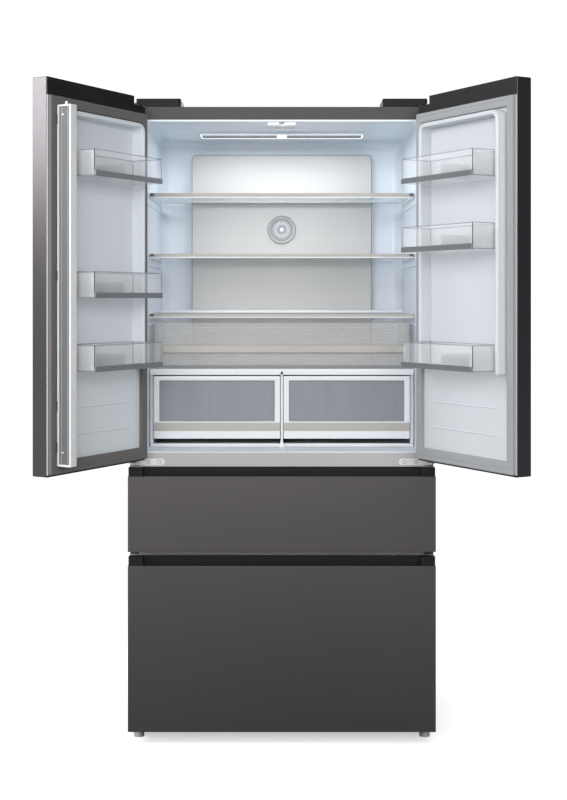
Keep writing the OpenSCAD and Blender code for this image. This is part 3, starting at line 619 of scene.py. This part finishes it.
def back_details():
    """Pressed bead round the rear panel, the screws that hold it and a blank rating plate."""
    back = node_mm("machine_cover")[1].y
    edge = node_mm("cabinet_shell")[1].x - 14.0
    side_heights = (64.0, 170.0, 286.0, 320.0, 660.0, 1000.0, 1340.0, 1712.0)
    spots = [(x, z) for x in (-edge, edge) for z in side_heights]
    spots += [(x, 1714.0) for x in (-200.0, 0.0, 200.0)]
    bead_rect, bead_corner = (-345.0, 345.0, 345.0, 1690.0), 46.0
    plate_rect = (-300.0, -236.0, 1560.0, 1640.0)
    bead, heads, plate = bmesh.new(), bmesh.new(), bmesh.new()
    ring = [(0.0, back - 0.2), (2.5, back + 1.3), (5.0, back + 1.9)]
    ring += [(9.0, back + 1.9), (11.5, back + 1.3), (14.0, back - 0.2)]
    swept(bead, bead_rect, bead_corner, ring, "xz", closed=True, steps=8)
    for x, z in spots:
        screw(heads, (x, back - 0.1, z), 4.4, "y", 1.0)
    swept(plate, plate_rect, 4.0, edged(back - 0.1, back + 0.3, 0.3, back + 0.5), "xz")
    fixed("rear_bead", bead, ZINC_SHEET, "rear_steel")
    fixed("rear_screws", heads, ZINC, "zinc_steel")
    fixed("blank_rating_plate", plate, FRAME_WHITE, "rear_steel")


SOFT_NODES = (    # node, material, width of its rounded edges in mm, and their segments if not 2
    ("cabinet_shell", SHELL_PAINT, 0.8),
    ("back_panel", ZINC_SHEET, 0.5),
    ("machine_cover", ZINC_SHEET, 0.4),
    ("middle_beam", BEAM_PAINT, 0.8),
    ("drawer_crossbeam", BEAM_PAINT, 0.8),
    ("base_frame", SHELL_PAINT, 0.6),
    ("freezer_liner", LINER, 6.0, 4),
    ("drawer_rails", ZINC, 0.5),
    ("door_hinges", ZINC, 0.7),
    ("hinge_covers", GRIP, 1.6, 3),
    ("mullion_guide", FRAME_WHITE, 0.8),
)


def cabinet_pieces():
    for entry in SOFT_NODES:
        softened(*entry)
    fridge_liner()
    shelf_ledges()
    hinge_details()
    mouth_frame()
    back_details()


def paint_nodes():
    """Materials for the CAD nodes that show as they are."""
    finishes = {
        "insulation_panels": FOAM, "left_door_foam": FOAM, "right_door_foam": FOAM, "compressor": ENAMEL,
        "condenser_coil": COPPER, "condenser_fan": BLACK, "evaporator_fan": BLACK, "drain_pan": PAN,
        "control_box": BLACK, "evaporator": ALUMINIUM, "evaporator_cover": LINER,
        "front_foot_left": ZINC, "front_foot_right": ZINC,
        "rear_roller_left": TYRE, "rear_roller_right": TYRE,
        "upper_drawer_core": FRAME_WHITE, "lower_drawer_core": FRAME_WHITE,
    }
    for name, finish in finishes.items():
        slots = frame["nodes"][name].data.materials
        slots.clear()
        slots.append(finish)


# ---------- doors, in an open door's own flat coordinates ----------

DOOR_W = 413.5
DOOR_T = 45.0
DOOR_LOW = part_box("left_door_caps")[0].z / MM
DOOR_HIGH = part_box("left_door_caps")[1].z / MM
PLATE_LOW = DOOR_LOW + 4.0
PLATE_HIGH = DOOR_HIGH - 44.0
RIDGE_START = 45.0
RIDGE_FOOT = 1020.0
CREST = 79.0          # how far back the ridge reaches
RIB_HEIGHTS = (932.5, 864.5)
BIN_H = 66.0
SIDES = {    # where the ridge and the bins end, how high each bin's floor stands
    "left": {"place": LEFT, "ridge": 366.0, "bin_end": 351.0, "bins": (1507.0, 1207.0, 1026.0),
             # each side's rubber and liner are copies of one seal and one moulding, set apart only by painted
             # light and shade
             "rubber": LEFT_SEAL_SHADED, "liner": LEFT_LINER_LIGHTENED},
    "right": {"place": RIGHT, "ridge": 382.0, "bin_end": 365.0, "bins": (1507.0, 1327.0, 1026.0),
              "rubber": RIGHT_SEAL_LIT, "liner": RIGHT_LINER_SHADED},
}


def on_door(side, name, bm, material, slot, **details):
    piece(side + "_" + name, bm, SIDES[side]["place"], side + "_door", material, slot, **details)


def door_gasket(side, rubber):
    """Magnetic seal: a flat foot, bellows that dip in, and a soft magnet strip on top."""
    bm = bmesh.new()
    out, back = DOOR_T + 0.2, 56.4
    width = (23.8, 23.8, 31.8, 25.8)
    profile = [(0.5, out), (0.0, out + 1.5), (1.8, out + 4.0), (0.4, out + 6.5), (0.9, back - 1.2)]
    profile += [(2.2, back), (9.0, back), (10.2, back - 1.4), (11.6, back - 1.4), (12.8, back - 0.4)]
    inner = [(0.8, back - 0.6), (0.0, back - 2.2), (2.6, back - 5.0), (0.4, back - 7.6), (0.0, out)]
    profile += [(tuple(w - i for w in width), depth) for i, depth in inner]
    rect = (4.2, DOOR_W - 2.2, PLATE_LOW + 0.7, PLATE_HIGH - 0.7)
    swept(bm, rect, 5.0, [(i, d, 3.0) for i, d in profile], "xz", closed=True, steps=3)
    on_door(side, "door_gasket", bm, rubber, "grey_seal", replaces=(side + "_door_seal",), sharp=60.0)


def door_liner_shell(side, ridge_end, moulding):
    """Inner face of a door: a flat plate, an arched ridge that carries the bins, and two low ribs."""
    bm = bmesh.new()
    plate = edged(DOOR_T - 3.0, DOOR_T - 0.4, 0.4, DOOR_T)
    swept(bm, (1.9, DOOR_W - 1.9, PLATE_LOW + 0.3, PLATE_HIGH - 0.3), 2.0, plate, "xz")
    ridge_arch(bm, RIDGE_START, ridge_end)
    rib = [(0.0, DOOR_T - 0.5), (0.3, DOOR_T + 0.8), (1.4, DOOR_T + 1.4)]
    for z in RIB_HEIGHTS:
        swept(bm, (70.0, 340.0, z - 2.5, z + 2.5), 2.4, rib, "xz", steps=3)
    on_door(side, "door_liner_shell", bm, moulding, "white_liner", replaces=(side + "_door_liner",),
        sharp=50.0)


def arch_path(u0, u1, low, high, radius, steps=10):
    """Up one side, across the top and down the other, with round corners: points and outward normals."""
    path = [((u0, low), (-1.0, 0.0))]
    for middle, start in ((u0 + radius, 180.0), (u1 - radius, 90.0)):
        for i in range(steps + 1):
            a = math.radians(start - 90.0 * i / steps)
            nu, nz = math.cos(a), math.sin(a)
            path.append(((middle + radius * nu, high - radius + radius * nz), (nu, nz)))
    path.append(((u1, low), (1.0, 0.0)))
    return path


def ridge_arch(bm, u0, u1):
    """The ridge is drafted, so it is wider at its foot, and rounded along its crest."""
    width = 13.0
    section = [(0.0, DOOR_T - 0.5), (0.0, DOOR_T + 1.0), (-0.6, CREST - 4.0), (-1.6, CREST - 1.2)]
    section += [(-3.4, CREST), (-width + 3.4, CREST), (-width + 1.6, CREST - 1.2)]
    section += [(-width + 0.6, CREST - 4.0), (-width, DOOR_T + 2.0), (-width, DOOR_T - 0.5)]
    rings = []
    for (u, z), (nu, nz) in arch_path(u0, u1, RIDGE_FOOT, PLATE_HIGH - 33.0, 26.0):
        rings.append([(u + nu * out, depth, z + nz * out) for out, depth in section])
    loft(bm, rings)


def door_bins(side, spec):
    """Clear moulded bins: rims, corners and feet in painted shade, a thick end wall, dark hooks and a metal-look
    strip.
    """
    bm, ends, trims, edges, posts = (bmesh.new() for _ in range(5))
    front, back = DOOR_T + 2.5, 142.8
    u0, u1 = 61.0, spec["bin_end"]
    for z in spec["bins"]:
        rect = (u0, u1, front, back)
        top = z + BIN_H
        outside = [(5.5, z + 0.3), (2.8, z + 2.2), (1.8, z + 8.0), (1.4, top - 3.6), (0.0, top - 2.6)]
        inside_wall = [(2.8, top), (3.6, top - 1.0), (4.0, z + 9.0), (4.6, z + 4.0), (6.5, z + 2.7)]
        swept(bm, rect, 6.0, outside + [(0.0, top)] + inside_wall, steps=4)
        divider = u0 + (u1 - u0) * 0.56
        flat_box(bm, (divider, front + 4.2, z + 5.0), (divider + 1.8, back - 4.2, z + 40.0))
        # painted shade along the rim, the corners and the foot of each bin
        rim = [(0.0, top - 1.6), (-0.3, top - 0.2), (0.4, top + 0.2), (2.2, top + 0.2), (3.0, top - 0.8)]
        swept(edges, rect, 6.0, [(i, d, 6.0) for i, d in rim], closed=True, steps=4)
        corner = [(0.9, z + 3.0), (1.1, z + 8.0), (1.1, top - 1.0), (0.9, top - 0.5)]
        for u in (u0 + 1.2, u1 - 2.8):
            for v in (front + 1.2, back - 2.8):
                lathe(edges, corner, (u + 0.8, v + 0.8, 0.0), "z", 8)
        wall = [(0.0, u1 - 5.4), (0.0, u1 - 4.4)]
        swept(ends, (front + 5.0, back - 5.0, z + 3.5, top - 3.0), 3.0, wall, "yz")
        flat_box(posts, (u1 - 3.4, front + 0.6, z + 12.0), (u1 - 0.2, front + 3.4, top + 1.5))
        flat_box(posts, (u1 - 3.4, front + 0.6, top - 3.0), (u1 - 0.2, front + 10.0, top + 1.0))
        flat_box(posts, (u1 - 1.9, back - 2.6, z + 12.0), (u1 - 0.3, back - 1.0, top - 1.0))
        foot = edged(u1 - 2.6, u1 - 0.6, 0.3, u1 - 0.3)
        swept(edges, (front + 3.0, back - 1.0, z + 0.6, z + 2.8), 0.8, foot, "yz", steps=2)
        strip = edged(back + 0.3, back + 1.6, 0.6, back + 2.1)
        swept(trims, (u0 + 1.0, u1 - 1.0, z + 0.2, z + 14.0), 2.0, strip, "xz")
    on_door(side, "clear_bins", bm, CLEAR, "clear_bins", replaces=(side + "_door_bins",), sharp=40.0)
    on_door(side, "bin_edge_shade", edges, EDGE_PAINTED_SHADE, "clear_bins")
    on_door(side, "bin_hooks", posts, GRIP_END, "clear_bins", bevel=0.5, segments=2)
    on_door(side, "bin_end_walls", ends, BIN_END, "clear_bins")
    on_door(side, "bin_strips", trims, GREY_TRIM, "bin_trim", replaces=(side + "_bin_trims",))


def door_cap_details(side):
    """Joint line and screw plugs on the cap at the top of a door."""
    bm = bmesh.new()
    line = (DOOR_W - 92.0, DOOR_W - 91.0, PLATE_HIGH + 1.0, DOOR_HIGH - 1.0)
    swept(bm, line, 0.3, [(0.0, DOOR_T - 1.0), (0.0, DOOR_T - 0.05)], "xz")
    on_door(side, "cap_joint_line", bm, GREY_TRIM, "black_plastic")
    plugs = bmesh.new()
    plug = [(0.0, -1.2), (5.0, -1.2), (5.6, -0.9), (5.6, -0.3), (0.0, -0.2)]
    for u in (150.0, 300.0):
        lathe(plugs, plug, (u, 22.0, DOOR_HIGH))
    on_door(side, "cap_plugs", plugs, GREY_TRIM, "black_plastic")


def doors():
    for side, spec in SIDES.items():
        softened(side + "_door_skin", DARK_STEEL, 0.9, 3)
        softened(side + "_door_caps", BLACK, 1.2, 3)
        door_gasket(side, spec["rubber"])
        door_liner_shell(side, spec["ridge"], spec["liner"])
        door_bins(side, spec)
        door_cap_details(side)


def flip_mullion():
    """White moulded flap with a steel plate let into the face that the seals meet when the doors close."""
    u0, u1, v0, v1 = 368.0, 394.0, 58.0, 102.0
    low, high = 795.0, 1680.0
    bm = bmesh.new()
    profile = [(3.0, low), (0.8, low), (0.0, low + 1.6), (0.0, high - 1.6), (0.8, high), (3.0, high)]
    rounded = [(i, d, 3.0 if i < 2.0 else 1.0) for i, d in profile]
    swept(bm, (u0, u1 - 0.7, v0, v1), 3.0, rounded, steps=3)
    piece("mullion_body", bm, LEFT, "mullion", MULLION_WHITE, "mullion_plastic",
        replaces=("flip_mullion",), sharp=60.0)
    plate = bmesh.new()
    sheet = edged(u1 - 1.2, u1 - 0.4, 0.3, u1 - 0.1)
    swept(plate, (v0 + 9.0, v1 - 5.0, low + 6.0, high - 4.0), 1.5, sheet, "yz")
    piece("mullion_plate", plate, LEFT, "mullion", MULLION_STEEL, "mullion_plastic")
    beads = bmesh.new()
    bead = edged(u1 - 0.3, u1 - 0.1, 0.3, u1)
    for v in (v0 + 15.5, v1 - 9.5):
        swept(beads, (v, v + 1.4, low + 7.0, high - 5.0), 0.6, bead, "yz", steps=2)
    piece("mullion_beads", beads, LEFT, "mullion", CAP_SILVER, "mullion_plastic")
    pin = bmesh.new()
    turned = [(0.0, -2.0), (5.6, -2.0), (5.6, 0.6), (3.9, 1.6), (3.9, 7.8), (3.2, 8.8), (0.0, 8.9)]
    lathe(pin, turned, ((u0 + u1) / 2, (v0 + v1) / 2, high))
    for z in (high - 25.0, low + 35.0):
        screw(pin, (u1 - 0.2, v0 + 20.0, z), 2.6, "x", 0.15)
    piece("mullion_pin", pin, LEFT, "mullion", ZINC, "zinc_steel")
    leaves = bmesh.new()
    leaf_heights = (1632.0, 1250.0, 930.0, 830.0)
    leaf = edged(u1 - 1.0, u1 - 0.3, 0.2, u1 - 0.1)
    for z in leaf_heights:
        swept(leaves, (v0 + 0.4, v0 + 4.0, z, z + 24.0), 1.0, leaf, "yz", steps=2)
    piece("mullion_hinge_leaves", leaves, LEFT, "mullion", DARK_TIP, "mullion_plastic")


# ---------- inside the fridge ----------


def duct_panel():
    """Brushed steel panel with folded edges, and a thin dark line round it."""
    low, high = node_mm("duct_panel")
    bm = bmesh.new()
    y = low.y
    rect, corner = (low.x, high.x, low.z, high.z), 15.0
    profile = [(0.0, high.y), (0.0, y + 2.6), (0.8, y + 0.8), (2.6, y)]
    profile += [(3.4, y), (3.9, y + 0.4), (4.6, y + 0.4), (5.1, y)]
    swept(bm, rect, corner, profile, "xz", steps=8)
    fixed("brushed_panel", bm, DUCT_STEEL, "duct_steel", replaces=("duct_panel",), sharp=45.0)
    edge = bmesh.new()
    outline = [(0.1, y + 1.6), (0.1, y - 0.2), (1.7, y - 0.3), (1.9, y + 0.4)]
    swept(edge, rect, corner, outline, "xz", closed=True, steps=8)
    fixed("panel_edge", edge, PANEL_EDGE, "duct_steel", sharp=45.0)


def purifier_cap():
    """Round cover of the air purifier: a dark rim, a light ring and a grille of short radial slots."""
    low, high = node_mm("purifier_cap")
    at = (0.0, high.y, (low.z + high.z) / 2)
    rim, ring, grille = bmesh.new(), bmesh.new(), bmesh.new()
    dish = [(0.0, -0.2), (43.0, -0.2), (43.0, -3.4), (41.8, -4.6)]
    dish += [(39.0, -4.9), (36.5, -4.2), (0.0, -4.0)]
    lathe(rim, dish, at, "y", 64)
    face = [(0.0, -3.0), (35.0, -3.0), (35.0, -6.8), (34.2, -7.7), (32.6, -7.9)]
    face += [(31.4, -7.2), (30.6, -6.2), (0.0, -6.0)]
    lathe(ring, face, at, "y", 64)
    count = 20
    for i in range(count):
        turn = Matrix.Translation(at) @ Matrix.Rotation(2.0 * math.pi * i / count, 4, "Y")
        done = len(grille.verts)
        swept(grille, (-1.1, 1.1, 15.0, 26.0), 1.05, edged(-5.9, -6.5, 0.3, -6.7), "xz", steps=3)
        bmesh.ops.transform(grille, matrix=turn, verts=list(grille.verts)[done:])
    lathe(grille, [(0.0, -5.8), (6.0, -5.8), (6.0, -6.3), (5.5, -6.6), (0.0, -6.6)], at, "y", 40)
    fixed("purifier_rim", rim, GREY_TRIM, "cap_plastic", replaces=("purifier_cap",))
    fixed("purifier_ring", ring, CAP_SILVER, "cap_plastic")
    fixed("purifier_grille", grille, FRAME_WHITE, "cap_plastic")


def ceiling_lamp():
    """Flush lamp: a glowing outline round a grey bar with a lit mark, and a sensor pod further forward."""
    low, high = node_mm("ceiling_lamp")
    left, right, front, back = low.x, high.x, 283.0, 381.0
    pod_rect = (-38.0, 38.0, 145.0, 185.0)
    rim, glow, bar, pod = (bmesh.new() for _ in range(4))
    top, out = high.z, low.z
    edge = [(0.0, top), (0.0, out + 1.0), (0.8, out + 0.2), (2.0, out + 0.15)]
    swept(rim, (left, right, front, back), 4.0, edge)
    band = [(0.0, out + 0.15), ((4.0, 4.0, 14.0, 10.0), out + 0.1, 2.0)]
    swept(glow, (left + 2.0, right - 2.0, front + 2.0, back - 2.0), 3.0, band)
    slab = edged(top - 0.5, out + 0.6, 0.6, out + 0.02)
    swept(bar, (left + 4.0, right - 4.0, front + 10.0, back - 10.0), 3.0, slab)
    swept(glow, (-14.0, 14.0, front + 16.0, back - 16.0), 3.0, [(0.0, out + 0.5), (0.0, out)])
    swept(pod, pod_rect, 6.0, [(0.0, top), (0.0, out + 2.0), (1.0, out + 0.6), (3.0, out + 0.1)])
    fixed("lamp_rim", rim, LINER, "lamp_diffuser", replaces=("ceiling_lamp",))
    fixed("lamp_outline", glow, LAMP_GLOW, "lamp_diffuser")
    fixed("lamp_bar", bar, LAMP_GREY, "lamp_diffuser")
    fixed("sensor_pod", pod, FRAME_WHITE, "lamp_diffuser")


def shelf(name, lip_h, front_bar):
    """Glass in a slim carrier: a front bar with a metal-look strip, dark end tips, a white rear rail and a painted
    shadow line in front of that rail.
    """
    low, high = node_mm(name)
    x, top, y0, y1 = high.x, shelf_top(name), low.y, high.y
    glass, clear, strip, tips, rail = (bmesh.new() for _ in range(5))
    pane = [(0.6, top - 4.0), (0.0, top - 3.4), (0.0, top - 0.8), (0.6, top - 0.2)]
    swept(glass, (-x + 3.0, x - 3.0, y0 + 6.2, y1 - 1.2), 3.0, pane)
    bottom = top - lip_h
    if front_bar:
        bar = edged(y0 + 5.8, y0 + 1.4, 0.6, y0 + 0.8)
        thin = edged(y0 + 1.6, y0 + 0.6, 0.4, y0 + 0.1)
        lower = edged(y0 + 1.6, y0 + 0.7, 0.4, y0 + 0.2)
        swept(clear, (-x + 1.0, x - 1.0, bottom + 0.3, top - 0.2), 2.0, bar, "xz")
        swept(strip, (-x + 13.0, x - 1.0, top - 9.5, top - 2.5), 1.2, thin, "xz")
        swept(rail, (-x + 1.0, x - 1.0, top - 13.5, top - 10.0), 1.2, lower, "xz")
        swept(tips, (-x + 1.0, -x + 12.8, top - 9.5, top - 2.5), 1.2, thin, "xz")
    else:
        bar = edged(y0 + 5.9, y0 + 1.0, 0.6, y0 + 0.4)
        thick = edged(y0 + 5.9, y0 + 0.9, 0.9, y0 + 0.1)
        swept(clear, (-x + 1.0, x - 1.0, bottom + 0.2, bottom + 4.0), 1.2, bar, "xz")
        swept(strip, (-x + 13.0, x - 13.0, bottom + 4.2, top - 0.1), 1.6, thick, "xz")
        for a, b in both_sides(x - 0.6, x - 12.8):
            swept(tips, (a, b, bottom + 4.2, top - 0.1), 1.6, thick, "xz")
    # painted shadow: a dark strip along the glass at the foot of the rear rail, in the tips' material
    shadow_line = [(0.0, y1 - 5.8), (0.0, y1 - 6.8)]
    swept(tips, (-x + 6.0, x - 6.0, top - 4.0, top - 2.2), 0.8, shadow_line, "xz", steps=2)
    rear = edged(y1 - 0.1, y1 - 4.6, 0.7, y1 - 5.6)
    swept(rail, (-x + 0.5, x - 0.5, top - 3.9, top + 5.9), 1.5, rear, "xz")
    edge = [(0.4, y0 + 7.0), (0.0, y0 + 7.6), (0.0, y1 - 5.4)]
    for a, b in both_sides(x - 0.2, x - 5.4):
        swept(rail, (a, b, top - 4.0, top - 0.4), 1.0, edge, "xz", steps=2)
    fixed(name + "_glass", glass, GLASS, "shelf_glass", replaces=(name,))
    fixed(name + "_front_bar", clear, CLEAR if front_bar else FRAME_WHITE, "shelf_glass")
    fixed(name + "_strip", strip, CHAMPAGNE, "bin_trim")
    fixed(name + "_rails", rail, FRAME_WHITE, "white_liner")
    fixed(name + "_tips_and_shadow_line", tips, DARK_TIP, "bin_trim")


def crisper_frame():
    """White moulded frame round the two crispers, under its own deck."""
    low, high = node_mm("crisper_frame")
    x, y0, y1, base, deck = high.x, low.y, high.y, low.z, high.z
    bm = bmesh.new()
    board = [(1.5, y1), (0.0, y1 - 1.5), (0.0, y0 + 4.6)]
    swept(bm, (-x, x, deck - 8.0, deck), 2.0, board, "xz", steps=3)
    swept(bm, (-x, x, deck - 17.0, deck), 2.5, edged(y0 + 5.0, y0 + 1.2, 1.2, y0), "xz", steps=3)
    post = [(10.0, base), (6.5, base + 7.0), (4.0, base + 14.0), (3.0, base + 24.0), (3.0, deck - 8.2)]
    mirrored = [(-a, b) for a, b in post]
    prism(bm, mirrored[:1] + post + mirrored[:0:-1], y0 + 12.0, y0)
    flat_box(bm, (-3.0, y0 + 12.0, base + 0.2), (3.0, y1 - 0.2, deck - 8.2))
    swept(bm, (-x, x, base, base + 10.5), 2.0, edged(y1, y0 + 15.5, 1.4, y0 + 14.1), "xz", steps=3)
    wall_in = 363.0
    for a, b in both_sides(x, wall_in):
        flat_box(bm, (a, y0 + 14.1, base + 10.6), (b, y1 - 0.2, deck - 8.2))
    fixed("crisper_frame_shell", bm, FRAME_WHITE, "white_liner", replaces=("crisper_frame",), sharp=45.0)


CRISPER_X = (4.6, 360.9)     # a crisper's inner and outer side, from the middle
CRISPER_Z = (811.0, 988.0)
CRISPER_Y = (151.0, 165.0)   # its front moulding
CRISPER_BACK = 499.8


def crisper(side, sign):
    """White front with a smoky window, a metal-look handle strip and a lower lip, on a smoky tub."""
    body = side + "_crisper"
    a0, a1 = sorted(sign * x for x in CRISPER_X)
    z0, z1 = CRISPER_Z
    y0, y1 = CRISPER_Y
    recess_low, recess_top, glass_low = z0 + 22.6, z0 + 45.0, z0 + 49.5
    rim = (16.0, 16.0, glass_low - recess_top, 13.0)
    front, window, strip, tub = (bmesh.new() for _ in range(4))
    face = [(0.4, y1), (0.0, y1 - 0.6), (0.0, y0 + 1.8), (0.5, y0 + 0.6), (1.8, y0 + 0.1)]
    into = [(tuple(i - 2.2 for i in rim), y0 + 0.1), (tuple(i - 0.6 for i in rim), y0 + 0.8)]
    into += [(rim, y0 + 2.6), (rim, y1)]
    ring = [(i, d, 2.0) for i, d in face + into]
    swept(front, (a0, a1, recess_top, z1), 4.0, ring, "xz", closed=True, steps=4)
    lip = [(0.0, y1 - 0.2, 2.0), (0.0, y0 + 3.0, 2.0), (0.8, y0 + 0.9, 2.0), (2.6, y0 + 0.1, 2.0)]
    swept(front, (a0, a1, z0 + 0.2, recess_low), 4.0, lip, "xz", steps=4)
    flat_box(front, (a0, y0 + 3.2, recess_low - 1.0), (a1, y1 - 0.3, recess_top + 1.0))
    hold = (16.4, 16.4, glass_low - z0 + 0.4, 13.4)
    swept(window, (a0, a1, z0, z1), 4.0, [(hold, y0 + 9.0, 3.0), (hold, y0 + 6.4, 3.0)], "xz", steps=3)
    handle = edged(y0 + 4.0, y0 + 2.6, 0.7, y0 + 2.1)
    swept(strip, (a0 + 0.4, a1 - 0.4, recess_low + 0.2, recess_top - 0.2), 1.5, handle, "xz")
    outside = [(4.0, z0 + 1.0), (1.2, z0 + 2.6), (0.4, z0 + 8.0), (0.0, z1 - 6.0), (0.0, z1 - 0.5)]
    inside_wall = [(2.4, z1 - 0.5), (2.8, z0 + 9.0), (5.0, z0 + 3.6)]
    swept(tub, (a0, a1, y1 + 0.6, CRISPER_BACK), 10.0, outside + inside_wall, steps=5)
    piece(body + "_face", front, HOME, body, FRAME_WHITE, "white_liner",
        replaces=(side + "_crisper_front",), sharp=50.0)
    piece(body + "_window", window, HOME, body, SMOKY, "smoky_tub")
    piece(body + "_strip", strip, HOME, body, CHAMPAGNE, "bin_trim")
    piece(body + "_bin", tub, HOME, body, SMOKY, "smoky_tub", replaces=(side + "_crisper_tub",),
        sharp=40.0)


def fresh_drawer():
    """Clear full-width drawer: fine level ribs, and a metal-look strip with a dark line under it."""
    low, high = node_mm("fresh_drawer")
    tub, ribs, strip, shade = (bmesh.new() for _ in range(4))
    z0, z1 = low.z, high.z
    outside = [(5.0, z0), (1.6, z0 + 1.8), (0.8, z0 + 7.0), (0.2, z1 - 5.0), (0.0, z1 - 4.0), (0.0, z1)]
    inside_wall = [(2.6, z1), (2.9, z0 + 8.0), (5.4, z0 + 3.0)]
    swept(tub, (low.x, high.x, low.y + 1.6, high.y), 10.0, outside + inside_wall, steps=5)
    y, z, pitch = low.y, z0 + 66.0, 7.0
    rib = edged(y + 2.6, y + 1.2, 0.4, y + 0.8)
    while z < z1 - 8.0:
        swept(ribs, (low.x + 14.0, high.x - 14.0, z, z + 1.6), 0.7, rib, "xz", steps=2)
        z += pitch
    left, right, foot = low.x + 26.0, high.x - 12.0, z0 + 38.0
    swept(strip, (left, right, foot, foot + 20.0), 1.5, edged(y + 2.4, y + 0.8, 0.7, y + 0.1), "xz")
    swept(shade, (left, right, foot - 2.6, foot - 0.2), 0.8, edged(y + 2.4, y + 1.1, 0.5, y + 0.5), "xz")
    piece("fresh_tub", tub, HOME, "fresh_tray", FRESH, "clear_bins", replaces=("fresh_drawer",),
        sharp=40.0)
    piece("fresh_ribs", ribs, HOME, "fresh_tray", BIN_END, "clear_bins")
    piece("fresh_strip", strip, HOME, "fresh_tray", CHAMPAGNE, "bin_trim")
    piece("fresh_strip_shadow", shade, HOME, "fresh_tray", GREY_TRIM, "bin_trim")


def inside():
    duct_panel()
    purifier_cap()
    ceiling_lamp()
    shelf("upper_shelf", 14.0, False)
    shelf("lower_shelf", 12.0, False)
    shelf("cover_shelf", 24.0, True)
    crisper_frame()
    crisper("left", -1.0)
    crisper("right", 1.0)
    fresh_drawer()


# ---------- freezer drawers ----------


def drawer_gasket(name):
    """Seal on the back of a drawer's front, which meets the cabinet's face."""
    low, high = node_mm(name + "_core")
    bm = bmesh.new()
    back = FACE_Y - 0.1
    rect = (low.x + 3.0, high.x - 3.0, low.z + 6.0, high.z - 5.0)
    profile = [(0.4, back - 9.0), (0.0, back - 7.0), (1.6, back - 5.0), (0.4, back - 2.4)]
    profile += [(1.0, back - 0.6), (2.4, back), (9.0, back), (10.4, back - 1.2)]
    profile += [(17.0, back - 1.2), (19.0, back - 4.0), (19.0, back - 9.0)]
    swept(bm, rect, 4.0, [(i, d, 3.0) for i, d in profile], "xz", closed=True, steps=3)
    piece(name + "_gasket", bm, HOME, name, SEAL, "grey_seal", sharp=60.0)


RUNNER_Z = {"upper_drawer": 590.0, "lower_drawer": 330.0}


def basket(name):
    """Milky tub with a rolled rim, and the runners it rides on."""
    low, high = node_mm(name + "_basket")
    half_w, y0, y1, z0, z1 = 336.0, FACE_Y + 2.0, high.y, low.z, high.z
    tub = bmesh.new()
    outside = [(8.0, z0), (3.0, z0 + 3.0), (1.4, z0 + 10.0), (0.6, z1 - 10.0), (0.0, z1 - 8.0)]
    top_edge = [(0.0, z1 - 0.8), (0.8, z1), (4.6, z1)]
    inside_wall = [(5.0, z1 - 1.0), (4.8, z0 + 12.0), (7.0, z0 + 5.0), (11.0, z0 + 3.4)]
    swept(tub, (-half_w, half_w, y0, y1), 20.0, outside + top_edge + inside_wall, steps=6)
    piece(name + "_tub", tub, HOME, name, BASKET, "basket_plastic", replaces=(name + "_basket",),
        sharp=45.0)
    runners = bmesh.new()
    z, near = RUNNER_Z[name], 45.2
    for outer, inner in zip(both_sides(334.5, 363.8), both_sides(317.0, 337.5)):
        flat_box(runners, (outer[0], near, z + 10.0), (outer[1], y1 - 10.2, z + 30.0))
        flat_box(runners, (inner[0], near, z - 10.0), (inner[1], y0 + 1.0, z + 50.0))
    piece(name + "_runners", runners, HOME, name, ZINC, "zinc_steel", bevel=0.8)


def grip_highlight(name):
    """Painted highlight: a thin lighter line along the lower edge of the grip's back wall."""
    half_w, z = 376.0, node_mm(name + "_grip")[0].z + 14.0
    bm = bmesh.new()
    swept(bm, (-half_w, half_w, z, z + 2.0), 0.6, edged(26.3, 25.2, 0.4, 24.9), "xz", steps=2)
    piece(name + "_grip_highlight_line", bm, HOME, name, GRIP_END, "black_plastic")


def drawers():
    for name in ("upper_drawer", "lower_drawer"):
        softened(name + "_front", DARK_STEEL, 0.8, 3)
        softened(name + "_grip", GRIP, 0.8, 3)
        drawer_gasket(name)
        basket(name)
        grip_highlight(name)


# ---------- everything ----------

make_camera()
set_view()
make_floor()
make_world()
make_lights()
cabinet_pieces()
paint_nodes()
doors()
flip_mullion()
inside()
drawers()
